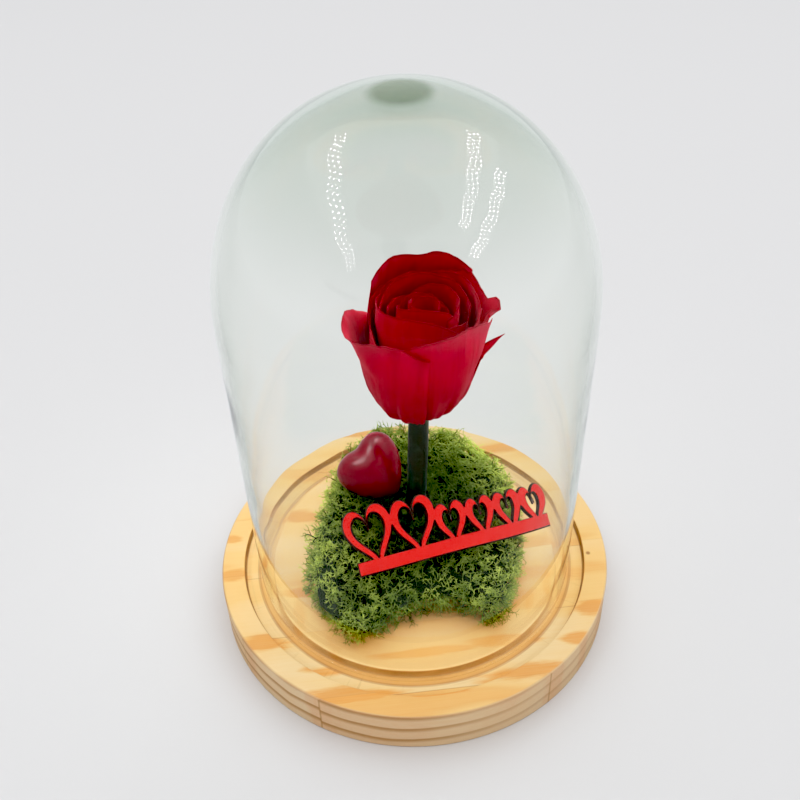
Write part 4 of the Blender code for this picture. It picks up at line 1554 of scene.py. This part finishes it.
@dataclass
class MossClump:
    """Clump of preserved moss: a bed of its form in dark painted shade, and sprigs that stand out of it all
    over.

    Trims are (share, bearing, width) with bearings in degrees, and strand_ranges are the ranges of x,
    y and length in millimetres, with the heading in degrees before the length and the depth last.
    """

    ornament: Ornament
    heart: PuffedHeart
    seed: int = 11
    sprig_kinds: int = 14
    sprigs_per_piece: int = 208
    pieces: int = 5
    candidates: int = 5
    bed_depth: float = 5.8 * MM
    sprig_depth: float = 7.0 * MM
    spread: float = 0.42
    trim: float = 4.5 * MM
    full_trim_at: float = 30.0 * MM
    low_size: float = 0.72
    stem_clearance: float = 5.2 * MM
    strands: int = 170
    strand_ranges: Sequence[tuple[float, float]] = (
        (-24, 32), (17, 42), (-60, 10), (9, 20), (0.1, 1.3))
    strand_joints: int = 8
    strand_depth: float = 4.0 * MM
    strand_girth: float = 0.27 * MM
    strand_wander: float = 16.0
    strand_sway: float = 0.2
    strand_toss: float = 0.85
    twig_length: float = 1.5 * MM
    bed_ripple: float = 1.6 * MM
    front_trim: tuple[float, float, float] = (1.8, -28, 34)
    back_trim: tuple[float, float, float] = (0.6, 75, 38)
    left_trim: tuple[float, float, float] = (0.4, 165, 30)
    board_gap: float = 0.2 * MM
    board_margin: float = 2.0 * MM
    board_heights: tuple[float, float] = (-0.4 * MM, 27.0 * MM)
    heart_clearance: float = 1.02
    stem_hole: float = 7.0 * MM
    lowest_facing: float = -0.75
    crowded_height: float = 14.0 * MM
    crowding: float = 0.3
    uprightness: float = 0.2
    low_height: float = 8.0 * MM

    def surface(self) -> tuple[np.ndarray, np.ndarray, np.ndarray, np.ndarray]:
        """Corners, triangles, triangle normals and triangle areas of the clump's solid.

        Returns:
            The four arrays, the last three with one row for each triangle.
        """
        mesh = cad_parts["moss_clump"].data
        mesh.calc_loop_triangles()
        corners = np.array([vertex.co for vertex in mesh.vertices])
        triangles = np.array([triangle.vertices for triangle in mesh.loop_triangles])
        first, second, third = (corners[triangles[:, index]] for index in range(3))
        cross = np.cross(second - first, third - first)
        area = np.linalg.norm(cross, axis=1) / 2
        return corners, triangles, cross / (2 * area[:, None] + 1e-15), area

    def build_bed(self, material: bpy.types.Material) -> None:
        """Make the bed a few millimetres inside the solid's surface, dark as painted shade between the
        sprigs.

        Args:
            material: The moss material.
        """
        shape = bmesh.new()
        shape.from_mesh(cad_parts["moss_clump"].data)
        bmesh.ops.remove_doubles(shape, verts=shape.verts, dist=1e-7)
        bmesh.ops.subdivide_edges(shape, edges=shape.edges, cuts=2, use_grid_fill=True)
        shape.normal_update()
        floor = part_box("moss_clump")[0].z
        moves = []
        for vertex in shape.verts:
            ripple = noise.noise(vertex.co * 160) + 0.6 * noise.noise(vertex.co * 420)
            depth = self.bed_depth + self.bed_ripple * ripple
            moves.append(self.drawn_in(vertex.co) - vertex.normal * depth)
        for vertex, place in zip(shape.verts, moves):
            vertex.co = place
            vertex.co.z = max(floor, place.z)
        mesh = store(shape, bpy.data.meshes.new("moss_bed"))
        count = len(mesh.vertices)
        # The bed's low reach gives it the dark root colour, as painted shade of the clump's depths seen
        # between the sprigs.
        self._dress("moss_bed", mesh, (np.full(count, 0.1), np.full(count, 0.3)), material)

    @staticmethod
    def _dress(name: str, mesh: bpy.types.Mesh, values: tuple[np.ndarray, np.ndarray],
               material: bpy.types.Material) -> None:
        """Dress a mesh of moss and let it stand for the clump.

        Args:
            name: The piece's name.
            mesh: Its mesh.
            values: Each point's reach, and a number from 0 to 1 for its branch's brightness.
            material: The moss material.
        """
        mesh.shade_smooth()
        set_attribute(mesh, "reach", values[0])
        set_attribute(mesh, "toss", values[1])
        mesh.materials.append(material)
        add_piece(name, mesh, Slot.MOSS, "moss_clump")

    def drawn_in(self, place: Sequence[float]) -> Vector:
        """Place on the clump moved towards the stem, at its right in front, its back and its left.

        Args:
            place: The place.

        Returns:
            The place after the move.
        """
        turn = math.degrees(math.atan2(place[1], place[0]))
        trims = ((turn, self.front_trim), (turn, self.back_trim), (abs(turn), self.left_trim))
        trim = self.trim * sum(share * math.exp(-((bearing - middle) / width) ** 2)
                               for bearing, (share, middle, width) in trims)
        away = math.hypot(place[0], place[1])
        share = 1 - trim * min(1.0, away / self.full_trim_at) / max(away, 1.0 * MM)
        return Vector((place[0] * share, place[1] * share, place[2]))

    def keep_clear(self, points: np.ndarray) -> np.ndarray:
        """Points moved off the stem, the heart and the ornament, and up to the board's top.

        Args:
            points: Points of the moss.

        Returns:
            The points after the move.
        """
        points[:, 2] = np.maximum(points[:, 2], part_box("moss_clump")[0].z)
        away = np.linalg.norm(points[:, :2], axis=1)
        push = np.maximum(1.0, self.stem_clearance / (away + 1e-9))
        points[:, :2] *= push[:, None]
        board = np.array(self.ornament.matrix())
        local = (points - board[:3, 3]) @ board[:3, :3]
        limit = -self.ornament.thickness - self.board_gap
        lowest, highest = self.board_heights
        beside = ((local[:, 0] > -self.board_margin)
                  & (local[:, 0] < self.ornament.length() + self.board_margin))
        level = (local[:, 1] > lowest) & (local[:, 1] < highest)
        local[beside & level & (local[:, 2] > limit), 2] = limit
        points = local @ board[:3, :3].T + board[:3, 3]
        heart = np.array(self.heart.matrix())
        half = np.array([self.heart.width, self.heart.width, self.heart.depth]) / 2 * self.heart_clearance
        local = (points - heart[:3, 3]) @ heart[:3, :3] / half
        norm = np.linalg.norm(local, axis=1)
        local *= np.maximum(1.0, 1.0 / (norm + 1e-9))[:, None]
        return (local * half) @ heart[:3, :3].T + heart[:3, 3]

    def build(self) -> None:
        """Make the bed, the sprigs spread evenly over the solid's top and sides, and the strands."""
        material = MossFinish().material()
        self.build_bed(material)
        draw = np.random.RandomState(self.seed)
        kinds = [Sprig(seed=self.seed + kind).grow() for kind in range(self.sprig_kinds)]
        places, normals = self.spots(draw)
        for number in range(1, self.pieces + 1):
            share = slice(number - 1, None, self.pieces)
            spots = (places[share], normals[share])
            self._build_sprigs(f"moss_sprigs_{number}", draw, kinds, spots, material)
        self.build_strands(draw, material)

    def build_strands(self, draw: np.random.RandomState, material: bpy.types.Material) -> None:
        """Make the long bright strands that lie over the clump behind the stem and the heart.

        Args:
            draw: Source of random numbers.
            material: The moss material.
        """
        solid = BVHTree.FromPolygons(*self.surface()[:2])
        points, faces, reach = [], [], []
        for _ in range(self.strands):
            x, y, heading, length, sunk = (draw.uniform(low, high) for low, high in self.strand_ranges)
            path = []
            for _ in range(self.strand_joints + 1):
                hit = solid.ray_cast(Vector((x * MM, y * MM, 1.0)), Vector((0, 0, -1)))[0]
                if hit is None:
                    break
                path.append((x * MM, y * MM, hit.z - self.strand_depth * sunk))
                x += length / self.strand_joints * math.cos(math.radians(heading))
                y += length / self.strand_joints * math.sin(math.radians(heading))
                heading += draw.uniform(-self.strand_wander, self.strand_wander)
                sunk = max(0.1, sunk + draw.uniform(-self.strand_sway, self.strand_sway))
            if len(path) > 3:
                self._add_strand(draw, np.array(path), points, faces, reach)
        cleared = self.keep_clear(np.array(points))
        mesh = mesh_from_arrays("moss_strands", cleared, np.array(faces))
        values = (np.array(reach), np.full(len(points), self.strand_toss))
        self._dress("moss_strands", mesh, values, material)

    def _add_strand(self, draw: np.random.RandomState, path: np.ndarray, points: list, faces: list,
                    reach: list) -> None:
        """Add one strand with short side twigs to the points, triangles and reach so far.

        Args:
            draw: Source of random numbers.
            path: Points that the strand follows.
            points: Points so far, added to.
            faces: Triangles so far, added to.
            reach: The points' reach so far, added to.
        """
        add_tube(path, self.strand_girth * np.linspace(1.0, 0.6, len(path)), points, faces)
        for place in path[1:]:
            twig = draw.normal(size=3) * (1.0, 1.0, 0.5) * self.twig_length
            bent = place + twig * 0.5 + draw.normal(size=3) * self.twig_length * 0.15
            girths = self.strand_girth * np.array([0.7, 0.6, 0.4])
            add_tube(np.array([place, bent, place + twig]), girths, points, faces)
        reach += [draw.uniform(0.75, 1.0)] * (len(points) - len(reach))

    def spots(self, draw: np.random.RandomState) -> tuple[np.ndarray, np.ndarray]:
        """Places of the sprigs on the solid's top and sides, spread out evenly, and the normals there.

        Args:
            draw: Source of random numbers.

        Returns:
            The places and the normals.
        """
        corners, triangles, normals, areas = self.surface()
        middle = corners[triangles].mean(axis=1)
        away = np.linalg.norm(middle[:, :2], axis=1)
        chance = areas * (normals[:, 2] > self.lowest_facing) * (away > self.stem_hole)
        count = self.sprigs_per_piece * self.pieces
        chosen = draw.choice(len(triangles), count * self.candidates, p=chance / chance.sum())
        shares = np.sort(draw.uniform(size=(len(chosen), 2)), axis=1)
        weights = np.stack([shares[:, 0], shares[:, 1] - shares[:, 0], 1 - shares[:, 1]], axis=1)
        places = np.einsum("ij,ijk->ik", weights, corners[triangles[chosen]])
        crowding = 1 + self.crowding * (places[:, 2] < BASE_TOP + self.crowded_height)
        gap = np.full(len(places), np.inf)
        picked = [0]
        for _ in range(count - 1):
            gap = np.minimum(gap, np.linalg.norm(places - places[picked[-1]], axis=1))
            picked.append(int(np.argmax(gap * crowding)))
        return places[picked], normals[chosen][picked]

    def _build_sprigs(self, name: str, draw: np.random.RandomState, kinds: list,
                      spots: tuple[np.ndarray, np.ndarray], material: bpy.types.Material) -> None:
        """Make one piece of many sprigs.

        Args:
            name: The piece's name.
            draw: Source of random numbers.
            kinds: The sprigs to choose from.
            spots: The sprigs' places and the surface's normals there.
            material: The moss material.
        """
        points, faces, reach, toss = [], [], [], []
        offset = 0
        for place, normal in zip(*spots):
            kind_points, kind_faces, kind_reach = kinds[draw.randint(self.sprig_kinds)]
            heading = normal + draw.normal(size=3) * self.spread
            heading[2] += self.uprightness
            low = place[2] < BASE_TOP + self.low_height
            size = draw.uniform(0.8, 1.2) * (self.low_size if low else 1.0)
            turned = self._turn(kind_points * size, heading, draw.uniform(0, 2 * math.pi))
            inward = heading / np.linalg.norm(heading) * self.sprig_depth * size
            points.append(turned + (np.array(self.drawn_in(place)) - inward))
            faces.append(kind_faces + offset)
            reach.append(kind_reach)
            toss.append(np.full(len(kind_points), draw.uniform()))
            offset += len(kind_points)
        mesh = mesh_from_arrays(name, self.keep_clear(np.concatenate(points)), np.concatenate(faces))
        self._dress(name, mesh, (np.concatenate(reach), np.concatenate(toss)), material)

    @staticmethod
    def _turn(points: np.ndarray, heading: np.ndarray, spin: float) -> np.ndarray:
        """Points grown along +Z, turned to a heading after a spin about it.

        Args:
            points: The points.
            heading: Direction that +Z is turned to.
            spin: Turn about +Z before that, in radians.

        Returns:
            The turned points.
        """
        up = heading / np.linalg.norm(heading)
        side = np.cross(up, (math.cos(spin), math.sin(spin), 0.3))
        side /= np.linalg.norm(side)
        return points @ np.stack([side, np.cross(up, side), up])


@dataclass
class Studio:
    """Pale tabletop, soft light and the camera at the photograph's place."""

    dome: bpy.types.Object
    heart: bpy.types.Object
    heart_centre: Vector
    camera_place: Vector = Vector((1.01, -291.51, 348.78)) * MM
    pitch: float = math.radians(39.671)
    yaw: float = math.radians(-0.915)
    roll: float = math.radians(2.120)
    lens: float = 43.704
    sensor_width: float = 36.0
    clip_start: float = 0.01
    table_reach: float = 3.0
    world_strength: float = 0.80
    world_tone: Colour = (0.95, 0.97, 1.0)
    overhead_place: Sequence[float] = (0.0, 0.1, 1.5)
    overhead_aim: Sequence[float] = (0.0, 0.0, 0.10)
    overhead_size: tuple[float, float] = (2.6, 2.6)
    overhead_power: float = 18.0
    overhead_tone: Colour = (1.0, 0.985, 0.965)
    black_level: float = 0.04
    tone_points: Sequence[tuple[float, float]] = ((0.25, 0.32), (0.55, 0.66), (0.8, 0.85))
    strips: Sequence[tuple[Sequence[float], Sequence[float]]] = (
        ((-0.62, 0.80, 1.33), (-0.75, -1.10, 0.98)), ((0.69, 0.83, 1.27), (0.80, -0.72, 1.30)),
        ((1.08, 0.39, 1.20), (0.95, -0.94, 0.975)))
    glints: Sequence[Sequence[float]] = ((-0.55, -0.10, 1.15), (0.05, 0.45, 1.2), (0.62, -0.35, 0.95))
    glint_size: tuple[float, float] = (0.24, 0.42)
    glint_power: float = 16.0
    strip_lamps: int = 24
    strip_rows: int = 3
    strip_width: float = 0.115
    strip_easing: float = 1.12
    strip_sway: float = 0.02
    lamp_size: float = 0.0125
    strip_glow: float = 60.0

    def add_camera(self) -> None:
        """Place the camera where the photograph was taken from."""
        level = math.cos(self.pitch)
        ahead = Vector((math.sin(self.yaw) * level, math.cos(self.yaw) * level, -math.sin(self.pitch)))
        right = Vector((math.cos(self.yaw), -math.sin(self.yaw), 0))
        down = ahead.cross(right)
        turned_right = math.cos(self.roll) * right + math.sin(self.roll) * down
        turned_down = math.cos(self.roll) * down - math.sin(self.roll) * right
        camera = bpy.data.objects.new("camera", bpy.data.cameras.new("camera"))
        rotation = Matrix((turned_right, -turned_down, -ahead)).transposed().to_4x4()
        camera.matrix_world = Matrix.Translation(self.camera_place) @ rotation
        camera.data.lens = self.lens
        camera.data.sensor_width = self.sensor_width
        camera.data.clip_start = self.clip_start
        bpy.context.scene.collection.objects.link(camera)
        bpy.context.scene.camera = camera

    @staticmethod
    def add_lamp(name: str, place: Sequence[float], aim: Sequence[float], size: tuple[float, float],
                 power: float) -> bpy.types.Object:
        """Area lamp that faces a point.

        Args:
            name: The lamp's name.
            place: Its place in metres.
            aim: The point that it faces, in metres.
            size: Its width and height in metres.
            power: Its power in watts.

        Returns:
            The lamp.
        """
        light = bpy.data.lights.new(name, "AREA")
        light.shape = "RECTANGLE"
        light.size, light.size_y = size
        light.energy = power
        lamp = bpy.data.objects.new(name, light)
        back = Vector(place) - Vector(aim)
        turned = back.to_track_quat("Z", "Y").to_matrix().to_4x4()
        lamp.matrix_world = Matrix.Translation(Vector(place)) @ turned
        bpy.context.scene.collection.objects.link(lamp)
        return lamp

    def add_lamps(self) -> None:
        """Hang the overhead lamp, and three small ones mirrored in the heart's gloss alone."""
        overhead = self.add_lamp("overhead", self.overhead_place, self.overhead_aim, self.overhead_size,
                                 self.overhead_power)
        overhead.data.color = self.overhead_tone
        overhead.visible_glossy = False
        for number, place in enumerate(self.glints, start=1):
            glint = self.add_lamp(f"glint_{number}", place, self.heart_centre, self.glint_size,
                                  self.glint_power)
            glint.visible_diffuse = False
            self.light_only(glint, self.heart)

    @staticmethod
    def light_only(lamp: bpy.types.Object, piece: bpy.types.Object) -> None:
        """Let a lamp light one piece alone.

        Args:
            lamp: The lamp, or a piece that glows.
            piece: The piece that it lights.
        """
        lit = bpy.data.collections.new(f"{lamp.name}_lights")
        lit.objects.link(piece)
        lamp.light_linking.receiver_collection = lit

    def build_table(self) -> None:
        """Make the tabletop, left out of mirrored images so that the glass stays clear."""
        shape = bmesh.new()
        bmesh.ops.create_grid(shape, x_segments=2, y_segments=2, size=self.table_reach)
        mesh = store(shape, bpy.data.meshes.new("table"))
        mesh.materials.append(FloorFinish().material())
        table = bpy.data.objects.new("table", mesh)
        bpy.context.scene.collection.objects.link(table)
        table.visible_glossy = False

    def build_strips(self) -> None:
        """Hang three strips of small lamps, seen only as dotted lines mirrored in the glass."""
        points, faces = [], []
        for start, end in self.strips:
            start, end = Vector(start), Vector(end)
            side = (end - start).cross(start + end).normalized()
            for step in range(self.strip_lamps):
                for row in range(self.strip_rows):
                    share = 1 - (1 - (step + 0.5 * (row % 2)) / self.strip_lamps) ** self.strip_easing
                    offset = (row / (self.strip_rows - 1) - 0.5) * self.strip_width
                    offset += self.strip_sway * math.sin(share * 23.0 + start.x * 5)
                    centre = start.lerp(end, share) + side * offset
                    run = (end - start).normalized() * self.lamp_size
                    across = side * self.lamp_size
                    first = len(points)
                    points += [centre + run, centre + across, centre - run, centre - across]
                    faces.append((first, first + 1, first + 2, first + 3))
        mesh = mesh_from_arrays("lamp_strips", np.array([tuple(point) for point in points]), np.array(faces))
        mesh.materials.append(Graph("lamp_glow").finish(
            Base_Color=(0.0, 0.0, 0.0, 1.0), Roughness=1.0, Emission_Strength=self.strip_glow,
            Emission_Color=(1.0, 1.0, 1.0, 1.0)))
        strips = bpy.data.objects.new("lamp_strips", mesh)
        bpy.context.scene.collection.objects.link(strips)
        strips.visible_camera = strips.visible_diffuse = strips.visible_shadow = False
        self.light_only(strips, self.dome)

    def build_world(self) -> None:
        """Make soft light from all around, weaker in front, where it would veil the glass."""
        world = bpy.data.worlds.new("studio")
        world.use_nodes = True
        graph = Graph.of_tree(world.node_tree)
        direction = graph.signal(graph.add("ShaderNodeTexCoord"), "Generated")
        _, depth, height = graph.axes(direction)
        below = (1 - graph.smooth(height, -0.2, 0.0)) * (1 - graph.smooth(depth, 0.4, 0.75))
        facing = depth * -0.77 + height * 0.64
        ahead = graph.smooth(facing, 0.55, 0.95)
        strength = (1 - below * 0.96) * (1 - ahead * 0.45) * self.world_strength
        shader = graph.add("ShaderNodeBackground", inputs={"Color": (*self.world_tone, 1.0),
                                                           "Strength": strength})
        graph.add("ShaderNodeOutputWorld", inputs={"Surface": graph.signal(shader)})
        bpy.context.scene.world = world

    def set_view(self) -> None:
        """Set the picture's tones: deep shadows, lifted middle tones and soft highlights."""
        view = bpy.context.scene.view_settings
        view.view_transform = "Standard"
        view.use_curve_mapping = True
        tones = view.curve_mapping
        tones.black_level = (self.black_level,) * 3
        curve = tones.curves[3]
        for place, value in self.tone_points:
            curve.points.new(place, value)
        tones.update()

    def build(self) -> None:
        """Make the tabletop, the world, the lights and the camera."""
        self.build_table()
        self.build_world()
        self.build_strips()
        self.add_lamps()
        self.add_camera()
        self.set_view()


def main() -> None:
    """Build every piece in order, then the studio."""
    logging.basicConfig(level=logging.INFO, format="%(name)s %(message)s")
    rose, heart, ornament = Rose(), PuffedHeart(), Ornament()
    WoodBase().build()
    glass = GlassDome().build()
    Stem().build(rose.matrix())
    rose.build()
    gloss = heart.build()
    ornament.build()
    MossClump(ornament, heart).build()
    Studio(glass, gloss, heart.centre).build()
    bpy.context.view_layer.update()


if __name__ == "__main__":
    main()
